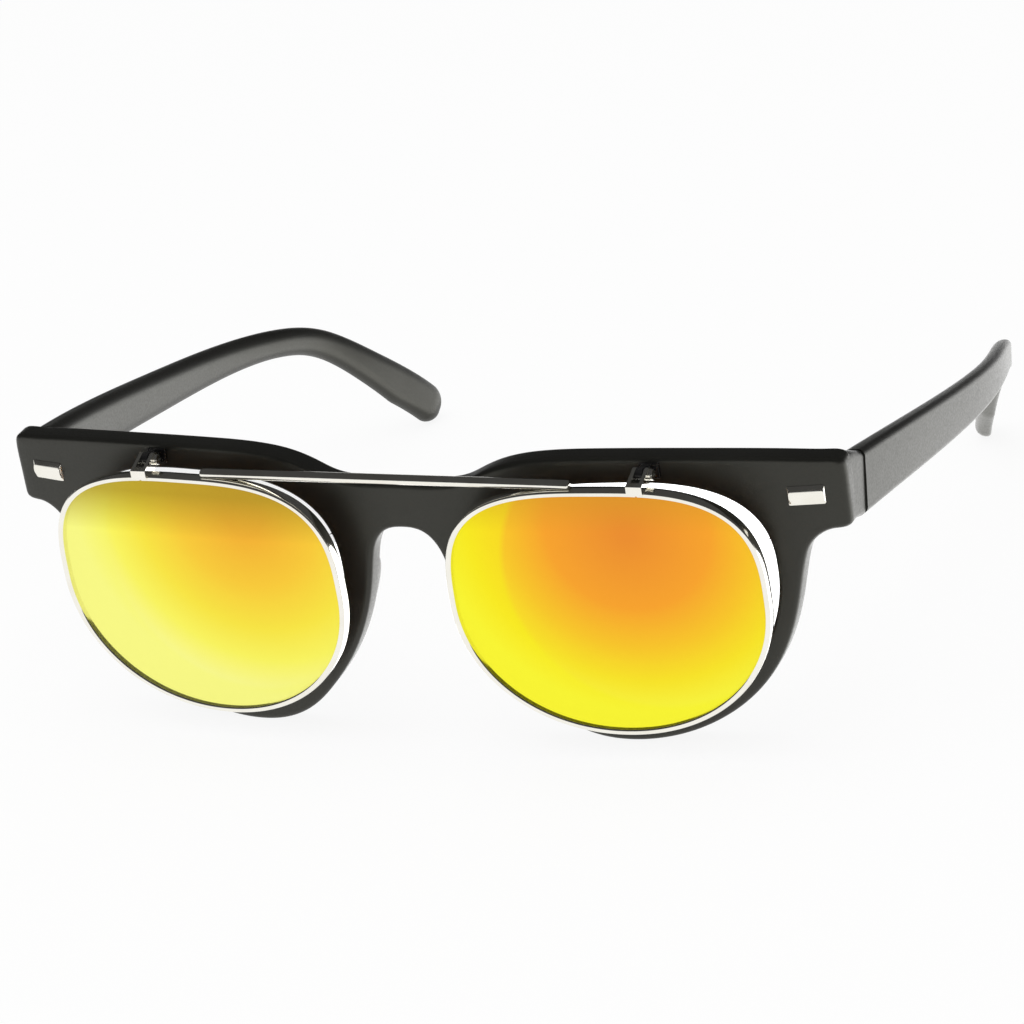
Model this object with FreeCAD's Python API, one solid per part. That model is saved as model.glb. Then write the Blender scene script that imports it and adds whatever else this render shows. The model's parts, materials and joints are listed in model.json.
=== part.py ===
import FreeCAD, Part
import math
import os

# Flip up sunglasses: a moulded front with end pieces and nose pads, two folding temples, and a wire
# carrier with two mirror lenses that turns up on two small hinges on the brow.
# Lengths are millimetres and angles are degrees. The front is drawn upright in its own frame:
# x across, y from the front face towards the head, z up from the bottom of the rims.
# Shares are parts of the size named beside them.

V = FreeCAD.Vector

# Moulded front
FRONT_WIDTH = 143.2
FRONT_HEIGHT = 50.0
FRONT_CURVE_RADIUS = 330.0
FRONT_THICKNESS = 4.0
FRONT_EDGE_ROUND = 0.8
# Edge of the front from the middle of the brow, round the end piece and the rim, up the nose to the
# middle of the bridge, as shares of half the width and of the height.
OUTLINE_SHARES = [(0.000, 0.902), (0.111, 0.902), (0.161, 0.916), (0.202, 0.944), (0.257, 0.975),
                  (0.338, 0.995), (0.459, 1.000), (0.697, 0.990), (0.892, 0.972), (0.965, 0.963),
                  (0.991, 0.948), (1.000, 0.912), (1.000, 0.845), (0.998, 0.785), (0.986, 0.748),
                  (0.957, 0.728), (0.926, 0.707), (0.904, 0.668), (0.890, 0.618), (0.866, 0.480),
                  (0.841, 0.368), (0.803, 0.260), (0.746, 0.160), (0.681, 0.088), (0.599, 0.032),
                  (0.525, 0.006), (0.459, 0.000), (0.390, 0.016), (0.323, 0.068), (0.262, 0.164),
                  (0.205, 0.264), (0.157, 0.372), (0.115, 0.512), (0.093, 0.620), (0.076, 0.690),
                  (0.045, 0.735), (0.000, 0.748)]

# Lens openings of the front and the clear lenses in them
OPENING_BROW = 4.5
OPENING_FLOOR = 3.2
OPENING_NOSE_WALL = 3.7
OPENING_SIDE_WALL = 2.6
NOSE_EDGE_SHARE = 0.115
SIDE_EDGE_SHARE = 0.866
OPENING_UPPER_SHARE = 0.385
OPENING_UPPER_POWER = 2.7
OPENING_LOWER_POWER = 1.9
LENS_GROOVE_DEPTH = 0.6
CLEAR_LENS_THICKNESS = 2.0

# Moulded nose pads
NOSE_PAD_LENGTH = 17.0
NOSE_PAD_DEPTH = 9.6
NOSE_PAD_THICKNESS = 3.6
NOSE_PAD_BACK = 5.2
NOSE_PAD_CENTRE_SHARE = (0.163, 0.430)
NOSE_PAD_SLANT = 25.0
NOSE_PAD_FLARE = 12.0

# Plates on the end pieces
PLAQUE_WIDTH = 5.8
PLAQUE_HEIGHT = 3.2
PLAQUE_PROUD = 0.55
PLAQUE_RECESS = 0.35
PLAQUE_BEVEL = 0.4
PLAQUE_CENTRE_SHARE = (0.912, 0.846)
PLAQUE_STUD_RADIUS = 0.5
PLAQUE_STUD_LENGTH = 1.8
PLAQUE_STUD_SHARE = 0.30

# End pieces, temples and their hinges
TEMPLE_SLOPE = 13.1
END_DEPTH = 7.8
END_PROUD = 0.15
JOINT_BELOW_TOP = 9.8
JOINT_GAP = 0.12
TEMPLE_THICKNESS = 4.1
TEMPLE_HEIGHT = 10.4
TEMPLE_RUN = 126.7
TEMPLE_TWIST = 5.5
EAR_DROP = 22.3
EAR_INSET = 16.3
TIP_ROUND = 4.2
# Outer top edge of a temple: along its run, down by the ear drop, in by the ear inset.
TEMPLE_PATH_SHARES = [(-0.02, 0.0, 0.0), (0.166, -0.012, -0.094), (0.356, 0.007, -0.131),
                      (0.569, 0.029, -0.063), (0.692, 0.068, 0.104), (0.779, 0.173, 0.281),
                      (0.859, 0.425, 0.562), (0.933, 0.699, 0.816), (1.0, 1.0, 1.0)]
# Sections of a temple: place on the edge, height, thickness and twist.
TEMPLE_SECTION_SHARES = [(0.0, 1.0, 1.0, 0.0), (0.14, 0.879, 0.97, 0.5), (0.32, 0.754, 0.93, 0.63),
                         (0.50, 0.616, 0.89, 0.66), (0.64, 0.511, 0.86, 0.63), (0.75, 0.505, 0.84, 0.65),
                         (0.84, 0.585, 0.80, 0.78), (0.93, 0.735, 0.74, 1.0)]
# Corner rounds of a temple section: outside, then inside top and inside low at the joint and at the
# ear, as shares of its thickness, and the most of its height that one corner takes.
OUTER_ROUND_SHARE = 0.12
JOINT_ROUND_SHARES = (0.50, 0.70)
EAR_ROUND_SHARES = (0.80, 0.66)
MOST_ROUND_SHARE = 0.45
TIP_SHARES = [0.0, 0.5, 0.8, 0.95]
TIP_SLIM_SHARE = 0.70

BARREL_RADIUS = 1.45
HINGE_HEIGHT = 6.0
KNUCKLE_GAP = 0.05
HINGE_AXIS_INSET = 1.6
LEAF_HALF_WIDTH = 1.2
LEAF_TANG = 4.5
LEAF_BARREL_GAP = 0.2
TEMPLE_LEAF_LENGTH = 8.0
TEMPLE_LEAF_HEIGHT = 4.8
TEMPLE_LEAF_START = 1.7
TEMPLE_LEAF_PROUD = 0.6
TEMPLE_LEAF_LET_IN = 2.0
HINGE_SCREW_RADIUS = 0.6
HINGE_SCREW_PLAY = 0.05
HINGE_HEAD_RADIUS = 1.15
HINGE_HEAD_HEIGHT = 0.7
SLOT_WIDTH = 0.3
SLOT_DEPTH_SHARE = 0.5
SEAT_PLAY = 0.02

# Flip lenses, rims and the bar between them
FLIP_LENS_WIDTH = 49.7
FLIP_LENS_HEIGHT = 40.7
FLIP_LENS_INSET = 0.75
FLIP_LENS_BELOW_TOP = 3.4
FLIP_UPPER_SHARE = 0.457
FLIP_UPPER_POWER = 3.1
FLIP_LOWER_POWER = 2.05
FLIP_STANDOFF = 3.8
FLIP_WRAP = 4.0
RIM_WIDTH = 0.95
RIM_DEPTH = 2.2
RIM_GROOVE = 0.35
RIM_GROOVE_WIDTH = 1.5
RIM_SPLIT = 0.25
MIRROR_EDGE = 0.9
MIRROR_DOME_RADIUS = 420.0
MIRROR_CORNER_SHARE = 0.9
BAR_END_IN = 3.5
BAR_HEIGHT = 1.5
BAR_DEPTH = 1.8
BAR_SADDLE = 0.25

# Flip hinges
FLIP_HINGE_OUT = 7.2
FLIP_AXIS_STANDOFF = 3.5
FLIP_AXIS_BELOW_TOP = 1.3
KNUCKLE_RADIUS = 1.1
TONGUE_THICKNESS = 1.12
CHEEK_THICKNESS = 0.6
WASHER_THICKNESS = 0.18
WASHER_RADIUS = 0.95
SIDE_PLAY = 0.03
FLIP_SCREW_RADIUS = 0.45
FLIP_SCREW_PLAY = 0.04
FLIP_HEAD_RADIUS = 0.85
FLIP_HEAD_THICKNESS = 0.65
FLIP_SCREW_TAIL = 0.25
FORK_LIP = 0.45
FORK_LIP_DROP = 0.55
FORK_BASE_HEIGHT = 1.0
FORK_BASE_BACK = 0.1
FOOT_WIDTH = 3.2
FOOT_HEIGHT = 2.3
FOOT_PROUD = 0.45
FOOT_LET_IN = 0.9
FOOT_BELOW_TOP = 1.05
FOOT_STUD_RADIUS = 0.6
FOOT_STUD_LENGTH = 1.9

# Points round each lens outline, sections along a temple, pieces of the outlines' edges, a length well
# past the front for tools that cut right through, and how closely the resting lean is found.
OUTLINE_POINTS = 44
TEMPLE_STATIONS = 20
LENS_EDGES = 4
FRONT_EDGES = 12
REACH = 30.0
MESH_STEP = 0.05
LEAN_STEP = 1e-9

half_width = FRONT_WIDTH / 2
temple_outside_x = half_width + END_PROUD
temple_inside_x = temple_outside_x - TEMPLE_THICKNESS
hinge_axis_x = temple_inside_x - HINGE_AXIS_INSET
joint_z = FRONT_HEIGHT - JOINT_BELOW_TOP
opening_inner_x = half_width * NOSE_EDGE_SHARE + OPENING_NOSE_WALL
opening_outer_x = half_width * SIDE_EDGE_SHARE - OPENING_SIDE_WALL
opening_x = (opening_inner_x + opening_outer_x) / 2
opening_height = FRONT_HEIGHT - OPENING_BROW - OPENING_FLOOR
opening_z = FRONT_HEIGHT - OPENING_BROW - opening_height * OPENING_UPPER_SHARE
flip_lens_x = opening_x - FLIP_LENS_INSET
flip_hinge_x = flip_lens_x + FLIP_HINGE_OUT
flip_axis_z = FRONT_HEIGHT - FLIP_AXIS_BELOW_TOP
flip_lens_top = FRONT_HEIGHT - FLIP_LENS_BELOW_TOP
flip_lens_z = flip_lens_top - FLIP_LENS_HEIGHT * FLIP_UPPER_SHARE


def front_y(x):
    """Depth of the curved front face at a place across the width."""
    return FRONT_CURVE_RADIUS - math.sqrt(FRONT_CURVE_RADIUS ** 2 - x * x)


joint_y = front_y(temple_outside_x - TEMPLE_THICKNESS / 2) + END_DEPTH
flip_axis_y = front_y(flip_hinge_x) - FLIP_AXIS_STANDOFF


def box(x0, x1, y0, y1, z0, z1):
    return Part.makeBox(x1 - x0, y1 - y0, z1 - z0, V(x0, y0, z0))


def rod(radius, length, start, direction):
    return Part.makeCylinder(radius, length, start, direction)


def mirrored(shape):
    return shape.mirror(V(0, 0, 0), V(1, 0, 0))


def spline(points):
    curve = Part.BSplineCurve()
    curve.interpolate(points)
    return curve


def closed_face(points, pieces):
    """Face inside one smooth closed line through the points, its edge in a few even pieces."""
    curve = Part.BSplineCurve()
    curve.interpolate(points, PeriodicFlag=True)
    first = curve.FirstParameter
    step = (curve.LastParameter - first) / pieces
    edges = [curve.toShape(first + step * k, first + step * (k + 1)) for k in range(pieces)]
    return Part.Face(Part.Wire(edges))


def side_prism(points, x0, x1):
    """Straight-sided profile in y and z, carried across from x0 to x1."""
    loop = [V(x0, y, z) for y, z in points]
    face = Part.Face(Part.makePolygon(loop + loop[:1]))
    return face.extrude(V(x1 - x0, 0, 0))


def egg_prism(centre_x, centre_z, half, upper, lower, powers, y0, y1):
    """Lens outline, a superellipse with one power above the middle and one below, carried in y."""
    points = []
    for step in range(OUTLINE_POINTS):
        turn = 2 * math.pi * step / OUTLINE_POINTS
        across = math.cos(turn)
        up = math.sin(turn)
        power = powers[0] if up > 0 else powers[1]
        reach = (abs(across) ** power + abs(up) ** power) ** (-1 / power)
        rise = upper if up > 0 else lower
        points.append(V(centre_x + half * reach * across, y0, centre_z + rise * reach * up))
    return closed_face(points, LENS_EDGES).extrude(V(0, y1 - y0, 0))


def opening_prism(grow):
    """Right lens opening of the front, grown all round, right through the front."""
    half = (opening_outer_x - opening_inner_x) / 2
    upper = opening_height * OPENING_UPPER_SHARE
    lower = opening_height - upper
    powers = (OPENING_UPPER_POWER, OPENING_LOWER_POWER)
    return egg_prism(opening_x, opening_z, half + grow, upper + grow, lower + grow, powers, -REACH, REACH)


def curved_slab(near, far):
    """Layer of the curved front between two depths behind its face."""
    middle = V(0, FRONT_CURVE_RADIUS, -REACH)
    tall = FRONT_HEIGHT + 2 * REACH
    outer = rod(FRONT_CURVE_RADIUS - near, tall, middle, V(0, 0, 1))
    inner = rod(FRONT_CURVE_RADIUS - far, tall, middle, V(0, 0, 1))
    wide = box(-FRONT_WIDTH, FRONT_WIDTH, -REACH, 2 * REACH, -REACH, FRONT_HEIGHT + REACH)
    return outer.cut(inner).common(wide)


def front_outline():
    """Face of the whole front, seen from the front."""
    half = [V(x * half_width, 0, z * FRONT_HEIGHT) for x, z in OUTLINE_SHARES]
    other = [V(-point.x, 0, point.z) for point in reversed(half[1:-1])]
    return closed_face(half + other, FRONT_EDGES)


def front_plate(outline):
    """Curved plate with its two lens openings and rounded edges."""
    blank = outline.extrude(V(0, REACH, 0)).common(curved_slab(0, FRONT_THICKNESS)).Solids[0]
    blank = blank.makeFillet(FRONT_EDGE_ROUND, [edge for edge in blank.Edges if edge_along_face(edge)])
    hole = opening_prism(0)
    return blank.cut([hole, mirrored(hole)])


def edge_along_face(edge):
    """True for an edge that runs along the front or back face and not from one to the other."""
    ends = [edge.valueAt(edge.FirstParameter), edge.valueAt(edge.LastParameter)]
    depths = [point.y - front_y(point.x) for point in ends]
    return abs(depths[0] - depths[1]) < FRONT_THICKNESS / 2


def to_front(shape):
    """Places a shape drawn along the temple (x out, y along, z up) at the joint of the right end piece."""
    placed = shape.copy()
    placed.rotate(V(0, 0, 0), V(1, 0, 0), -TEMPLE_SLOPE)
    placed.translate(V(0, joint_y, joint_z))
    return placed


def end_piece():
    """Return of the right end piece: the temple's own section carried from the joint into the front."""
    corner = V(temple_outside_x, -JOINT_GAP, TEMPLE_HEIGHT / 2)
    wire = section_wire(corner, V(1, 0, 0), V(0, 0, 1), TEMPLE_THICKNESS, TEMPLE_HEIGHT, 0)
    stub = to_front(Part.Face(wire).extrude(V(0, -REACH, 0)))
    return stub.cut(curved_slab(-2 * REACH, FRONT_THICKNESS / 2))


def nose_pad():
    """Rounded pad behind the right side of the nose gap."""
    ball = Part.makeSphere(NOSE_PAD_THICKNESS / 2)
    stretch = FreeCAD.Matrix()
    stretch.scale(V(1, NOSE_PAD_DEPTH / NOSE_PAD_THICKNESS, NOSE_PAD_LENGTH / NOSE_PAD_THICKNESS))
    pad = ball.transformGeometry(stretch)
    pad.rotate(V(0, 0, 0), V(0, 0, 1), -NOSE_PAD_FLARE)
    pad.rotate(V(0, 0, 0), V(0, 1, 0), -NOSE_PAD_SLANT)
    x = NOSE_PAD_CENTRE_SHARE[0] * half_width
    pad.translate(V(x, NOSE_PAD_BACK, NOSE_PAD_CENTRE_SHARE[1] * FRONT_HEIGHT))
    return pad


def hinge_stations():
    """Heights where the three knuckles of a temple hinge start and end."""
    third = HINGE_HEIGHT / 3
    low = -HINGE_HEIGHT / 2
    return [low + third * step for step in range(4)]


def knuckle(low, high):
    return rod(BARREL_RADIUS, high - low, V(hinge_axis_x, 0, low), V(0, 0, 1))


def hinge_bore(radius):
    tall = 2 * HINGE_HEIGHT
    return rod(radius, tall, V(hinge_axis_x, 0, -HINGE_HEIGHT), V(0, 0, 1))


def front_leaf_base(play):
    """Block of the front leaf that is let into the back of the end piece."""
    near = -BARREL_RADIUS - LEAF_BARREL_GAP
    half = HINGE_HEIGHT / 2 + play
    wide = LEAF_HALF_WIDTH + play
    return box(hinge_axis_x - wide, hinge_axis_x + wide, near - LEAF_TANG - play, near, -half, half)


def front_leaf():
    """Front leaf with the two outer knuckles."""
    stations = hinge_stations()
    leaf = front_leaf_base(0)
    near = -BARREL_RADIUS - LEAF_BARREL_GAP
    for low, high in ((stations[0], stations[1]), (stations[2], stations[3])):
        web = box(hinge_axis_x - LEAF_HALF_WIDTH, hinge_axis_x + LEAF_HALF_WIDTH, near, 0, low, high)
        leaf = leaf.fuse([web, knuckle(low, high)])
    return leaf.cut(hinge_bore(HINGE_SCREW_RADIUS + HINGE_SCREW_PLAY)).removeSplitter()


def temple_leaf_plate(play):
    """Plate and web of the temple leaf, with play all round for its pocket."""
    stations = hinge_stations()
    low = temple_inside_x - TEMPLE_LEAF_PROUD - play
    high = temple_inside_x + TEMPLE_LEAF_LET_IN + play
    half = TEMPLE_LEAF_HEIGHT / 2 + play
    finish = TEMPLE_LEAF_START + TEMPLE_LEAF_LENGTH
    plate = box(low, high, TEMPLE_LEAF_START - play, finish + play, -half, half)
    web = box(hinge_axis_x, high - LEAF_BARREL_GAP, -play, TEMPLE_LEAF_START + LEAF_HALF_WIDTH,
              stations[1] + KNUCKLE_GAP - play, stations[2] - KNUCKLE_GAP + play)
    return plate.fuse(web)


def temple_leaf():
    """Temple leaf with the middle knuckle."""
    stations = hinge_stations()
    barrel = knuckle(stations[1] + KNUCKLE_GAP, stations[2] - KNUCKLE_GAP)
    leaf = temple_leaf_plate(0).fuse(barrel)
    return leaf.cut(hinge_bore(HINGE_SCREW_RADIUS + HINGE_SCREW_PLAY)).removeSplitter()


def hinge_screw():
    """Slotted screw of a temple hinge, put in from above."""
    top = HINGE_HEIGHT / 2
    shank = rod(HINGE_SCREW_RADIUS, HINGE_HEIGHT, V(hinge_axis_x, 0, -top), V(0, 0, 1))
    head = rod(HINGE_HEAD_RADIUS, HINGE_HEAD_HEIGHT, V(hinge_axis_x, 0, top), V(0, 0, 1))
    roof = top + HINGE_HEAD_HEIGHT
    slot = box(hinge_axis_x - HINGE_HEAD_RADIUS, hinge_axis_x + HINGE_HEAD_RADIUS, -SLOT_WIDTH / 2,
               SLOT_WIDTH / 2, roof - HINGE_HEAD_HEIGHT * SLOT_DEPTH_SHARE, roof)
    return shank.fuse(head).cut(slot).removeSplitter()


def section_wire(edge, out, up, thick, tall, ear):
    """Section of a temple hung from its outer top edge: flat outside, rounded towards the head."""
    outer = OUTER_ROUND_SHARE
    inner = [joint + (end - joint) * ear for joint, end in zip(JOINT_ROUND_SHARES, EAR_ROUND_SHARES)]
    centre = edge - out * (thick / 2) - up * (tall / 2)

    def at(across, high):
        return centre + out * across + up * high

    arcs = []
    for (sx, sz), share in zip(((1, 1), (-1, 1), (-1, -1), (1, -1)), (outer, inner[0], inner[1], outer)):
        corner = min(thick * share, tall * MOST_ROUND_SHARE)
        cut = corner * (1 - math.sqrt(0.5))
        side = at(sx * thick / 2, sz * (tall / 2 - corner))
        mid = at(sx * (thick / 2 - cut), sz * (tall / 2 - cut))
        lid = at(sx * (thick / 2 - corner), sz * tall / 2)
        arcs.append((side, mid, lid) if sx * sz > 0 else (lid, mid, side))
    edges = []
    for index, (start, mid, finish) in enumerate(arcs):
        edges.append(Part.Arc(start, mid, finish).toShape())
        edges.append(Part.makeLine(finish, arcs[(index + 1) % len(arcs)][0]))
    return Part.Wire(edges)


def temple_sections(length):
    """Place, height, thickness, twist and shrink of every section, the last few rounding the tip."""
    table = Part.BSplineCurve()
    table.interpolate(Points=[V(*share[1:]) for share in TEMPLE_SECTION_SHARES],
                      Parameters=[share[0] for share in TEMPLE_SECTION_SHARES])
    last = TEMPLE_SECTION_SHARES[-1]
    body_end = length - TIP_ROUND
    sections = []
    for step in range(TEMPLE_STATIONS):
        place = step / TEMPLE_STATIONS
        share = table.value(min(place, last[0]))
        sections.append((place * body_end, share.x, share.y, share.z, 1.0))
    for share in TIP_SHARES:
        shrink = math.sqrt(1 - share * share)
        slim = 1 - (1 - shrink) * TIP_SLIM_SHARE
        sections.append((body_end + share * TIP_ROUND, last[1], last[2] * slim, last[3], shrink))
    return sections


def temple():
    """Right temple along its outer top edge, cut square at the joint, with the pocket for its leaf."""
    line = spline([V(temple_outside_x - share[2] * EAR_INSET, share[0] * TEMPLE_RUN,
                     TEMPLE_HEIGHT / 2 - share[1] * EAR_DROP) for share in TEMPLE_PATH_SHARES])
    length = line.length()
    wires = []
    for place, tall_share, thick_share, twist_share, shrink in temple_sections(length):
        along = line.parameterAtDistance(place, line.FirstParameter)
        tangent = line.tangent(along)[0]
        flat = V(1, 0, 0) - tangent * tangent.x
        flat.normalize()
        rise = flat.cross(tangent)
        twist = math.radians(TEMPLE_TWIST * twist_share)
        out = flat * math.cos(twist) + rise * math.sin(twist)
        up = rise * math.cos(twist) - flat * math.sin(twist)
        tall = TEMPLE_HEIGHT * tall_share
        edge = line.value(along) - up * (tall * (1 - shrink) / 2)
        wires.append(section_wire(edge, out, up, TEMPLE_THICKNESS * thick_share, tall * shrink,
                                  min(1.0, place / length)))
    arm = Part.makeLoft(wires, True)
    square = box(-FRONT_WIDTH, FRONT_WIDTH, -REACH, 0, -REACH, REACH)
    return arm.cut([square, temple_leaf_plate(SEAT_PLAY)])


def plaque_frame(shape):
    """Places a shape drawn flat (x across, y inwards, z up) on the face of the right end piece."""
    x = PLAQUE_CENTRE_SHARE[0] * half_width
    placed = shape.copy()
    placed.rotate(V(0, 0, 0), V(0, 0, 1), math.degrees(math.asin(x / FRONT_CURVE_RADIUS)))
    placed.translate(V(x, front_y(x), PLAQUE_CENTRE_SHARE[1] * FRONT_HEIGHT))
    return placed


def plaque_blank(play):
    """Plate and two studs of an end piece plate."""
    a = PLAQUE_WIDTH / 2 + play
    b = PLAQUE_HEIGHT / 2 + play
    blank = box(-a, a, -PLAQUE_PROUD, PLAQUE_RECESS, -b, b)
    for sign in (-1, 1):
        start = V(sign * PLAQUE_WIDTH * PLAQUE_STUD_SHARE, 0, 0)
        reach = PLAQUE_RECESS + PLAQUE_STUD_LENGTH
        blank = blank.fuse(rod(PLAQUE_STUD_RADIUS + play, reach, start, V(0, 1, 0)))
    return blank.removeSplitter()


def plaque():
    """Bevelled plate with its studs."""
    blank = plaque_blank(0)
    edges = [edge for edge in blank.Edges if edge.BoundBox.YMax < -PLAQUE_PROUD + SEAT_PLAY]
    return blank.makeChamfer(PLAQUE_BEVEL, edges)


def clear_lens():
    """Right clear lens, held in the groove of its opening."""
    near = (FRONT_THICKNESS - CLEAR_LENS_THICKNESS) / 2
    slab = curved_slab(near, near + CLEAR_LENS_THICKNESS)
    return opening_prism(LENS_GROOVE_DEPTH - SEAT_PLAY).common(slab)


def lens_groove():
    near = (FRONT_THICKNESS - CLEAR_LENS_THICKNESS) / 2
    slab = curved_slab(near - SEAT_PLAY, near + CLEAR_LENS_THICKNESS + SEAT_PLAY)
    return opening_prism(LENS_GROOVE_DEPTH).common(slab)


def flip_prism(grow, y0, y1):
    """Right flip lens outline, grown all round, in the turned plane of the flip lens."""
    upper = FLIP_LENS_HEIGHT * FLIP_UPPER_SHARE
    lower = FLIP_LENS_HEIGHT - upper
    powers = (FLIP_UPPER_POWER, FLIP_LOWER_POWER)
    return to_flip(egg_prism(0, 0, FLIP_LENS_WIDTH / 2 + grow, upper + grow, lower + grow, powers, y0, y1))


def to_flip(shape):
    """Places a shape drawn about the middle of the flip lens in the lens's own plane."""
    placed = shape.copy()
    placed.rotate(V(0, 0, 0), V(0, 0, 1), FLIP_WRAP)
    placed.translate(V(flip_lens_x, -FLIP_STANDOFF, flip_lens_z))
    return placed


def rim_body():
    """Solid outside of the right flip rim, as if it had no opening."""
    return flip_prism(RIM_WIDTH, -RIM_DEPTH / 2, RIM_DEPTH / 2)


def flip_rim():
    """Grooved rim, split under its hinge."""
    ring = rim_body().cut(flip_prism(0, -RIM_DEPTH, RIM_DEPTH))
    ring = ring.cut(flip_prism(RIM_GROOVE, -RIM_GROOVE_WIDTH / 2, RIM_GROOVE_WIDTH / 2))
    split = box(flip_hinge_x - RIM_SPLIT / 2, flip_hinge_x + RIM_SPLIT / 2, -REACH, REACH, flip_lens_z,
                FRONT_HEIGHT + REACH)
    return ring.cut(split)


def mirror_lens():
    """Mirror lens with a gently domed front, seated on the back of the rim's groove."""
    back = RIM_GROOVE_WIDTH / 2 - SEAT_PLAY
    blank = flip_prism(RIM_GROOVE - SEAT_PLAY, back - RIM_DEPTH, back)
    corner = math.hypot(FLIP_LENS_WIDTH, FLIP_LENS_HEIGHT) / 2 * MIRROR_CORNER_SHARE
    sag = MIRROR_DOME_RADIUS - math.sqrt(MIRROR_DOME_RADIUS ** 2 - corner ** 2)
    middle = V(0, back - MIRROR_EDGE - sag + MIRROR_DOME_RADIUS, 0)
    dome = to_flip(Part.makeSphere(MIRROR_DOME_RADIUS, middle))
    return blank.common(dome)


def brow_bar():
    """Straight bar, saddled on the tops of both rims."""
    low = flip_lens_top + RIM_WIDTH - BAR_SADDLE
    half = flip_lens_x - BAR_END_IN
    middle = -FLIP_STANDOFF
    bar = box(-half, half, middle - BAR_DEPTH / 2, middle + BAR_DEPTH / 2, low, low + BAR_HEIGHT)
    body = rim_body()
    return bar.cut([body, mirrored(body)])


def hinge_stack(side):
    """Places across one flip hinge, from the tail of its screw to its head."""
    tongue = -(TONGUE_THICKNESS + WASHER_THICKNESS + 2 * SIDE_PLAY) / 2
    places = {"tongue": side * flip_hinge_x + tongue}
    places["tongue_end"] = places["tongue"] + TONGUE_THICKNESS
    places["washer"] = places["tongue_end"] + SIDE_PLAY
    places["washer_end"] = places["washer"] + WASHER_THICKNESS
    places["right"] = places["washer_end"] + SIDE_PLAY
    places["right_end"] = places["right"] + CHEEK_THICKNESS
    places["left_end"] = places["tongue"] - SIDE_PLAY
    places["left"] = places["left_end"] - CHEEK_THICKNESS
    return places


def axis_rod(radius, x0, x1):
    """Round bar along the flip axis."""
    return rod(radius, x1 - x0, V(x0, flip_axis_y, flip_axis_z), V(1, 0, 0))


def flip_fork(side):
    """Fork soldered across the split of a rim, with two cheeks on the flip screw and a lip in front."""
    at = hinge_stack(side)
    body = rim_body() if side > 0 else mirrored(rim_body())
    plane = -FLIP_STANDOFF + (flip_hinge_x - flip_lens_x) * math.tan(math.radians(FLIP_WRAP))
    front = plane - RIM_DEPTH / 2 - FORK_LIP
    back = plane + RIM_DEPTH / 2 - FORK_BASE_BACK
    roof = flip_lens_top + RIM_WIDTH + FORK_BASE_HEIGHT
    floor = flip_lens_top + RIM_WIDTH - FORK_LIP_DROP
    base = box(at["left"], at["right_end"], front, back, floor, roof)
    arm = [(flip_axis_y, flip_axis_z + KNUCKLE_RADIUS), (front, roof), (front, floor), (back, floor),
           (flip_axis_y, flip_axis_z - KNUCKLE_RADIUS)]
    pieces = []
    for low, high in (("left", "left_end"), ("right", "right_end")):
        pieces.append(side_prism(arm, at[low], at[high]))
        pieces.append(axis_rod(KNUCKLE_RADIUS, at[low], at[high]))
    fork = base.fuse(pieces).cut(axis_rod(FLIP_SCREW_RADIUS, at["left"], at["right_end"]))
    return fork.cut(body).removeSplitter()


def flip_screw(side):
    """Screw of a flip hinge, its slotted head to the right."""
    at = hinge_stack(side)
    shank = axis_rod(FLIP_SCREW_RADIUS, at["left"] - FLIP_SCREW_TAIL, at["right_end"])
    end = at["right_end"] + FLIP_HEAD_THICKNESS
    head = axis_rod(FLIP_HEAD_RADIUS, at["right_end"], end)
    slot = box(end - FLIP_HEAD_THICKNESS * SLOT_DEPTH_SHARE, end, flip_axis_y - FLIP_HEAD_RADIUS,
               flip_axis_y + FLIP_HEAD_RADIUS, flip_axis_z - SLOT_WIDTH / 2, flip_axis_z + SLOT_WIDTH / 2)
    return shank.fuse(head).cut(slot).removeSplitter()


def flip_washer(side):
    at = hinge_stack(side)
    disc = axis_rod(WASHER_RADIUS, at["washer"], at["washer_end"])
    return disc.cut(axis_rod(FLIP_SCREW_RADIUS + SEAT_PLAY, at["washer"], at["washer_end"]))


def bracket_foot(side, play):
    """Foot and stud of a flip bracket, let into the brow."""
    middle = side * flip_hinge_x
    face = front_y(flip_hinge_x)
    top = FRONT_HEIGHT - FOOT_BELOW_TOP
    half = FOOT_WIDTH / 2 + play
    low = top - FOOT_HEIGHT
    foot = box(middle - half, middle + half, face - FOOT_PROUD, face + FOOT_LET_IN, low - play, top + play)
    reach = FOOT_LET_IN + FOOT_STUD_LENGTH
    stud = rod(FOOT_STUD_RADIUS + play, reach, V(middle, face, (low + top) / 2), V(0, 1, 0))
    return foot.fuse(stud).removeSplitter()


def flip_bracket(side):
    """Foot with a standing tongue that carries the flip screw."""
    at = hinge_stack(side)
    face = front_y(flip_hinge_x)
    low = FRONT_HEIGHT - FOOT_BELOW_TOP - FOOT_HEIGHT
    arm = [(flip_axis_y, flip_axis_z + KNUCKLE_RADIUS), (flip_axis_y, flip_axis_z - KNUCKLE_RADIUS),
           (face, low), (face, FRONT_HEIGHT - FOOT_BELOW_TOP)]
    tongue = side_prism(arm, at["tongue"], at["tongue_end"])
    tongue = tongue.fuse(axis_rod(KNUCKLE_RADIUS, at["tongue"], at["tongue_end"]))
    bracket = bracket_foot(side, 0).fuse(tongue)
    bore = axis_rod(FLIP_SCREW_RADIUS + FLIP_SCREW_PLAY, at["tongue"], at["tongue_end"])
    return bracket.cut(bore).removeSplitter()


def frame_front():
    """Whole moulded front with every seat cut in it."""
    outline = front_outline()
    end = end_piece()
    pad = nose_pad()
    body = front_plate(outline).fuse([end, mirrored(end), pad, mirrored(pad)])
    hole = opening_prism(0)
    groove = lens_groove()
    seat = to_front(front_leaf_base(SEAT_PLAY))
    stamp = plaque_frame(plaque_blank(SEAT_PLAY))
    cuts = [hole, mirrored(hole), groove, mirrored(groove), seat, mirrored(seat), stamp, mirrored(stamp)]
    cuts += [bracket_foot(side, SEAT_PLAY) for side in (-1, 1)]
    return body.cut(cuts)


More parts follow.
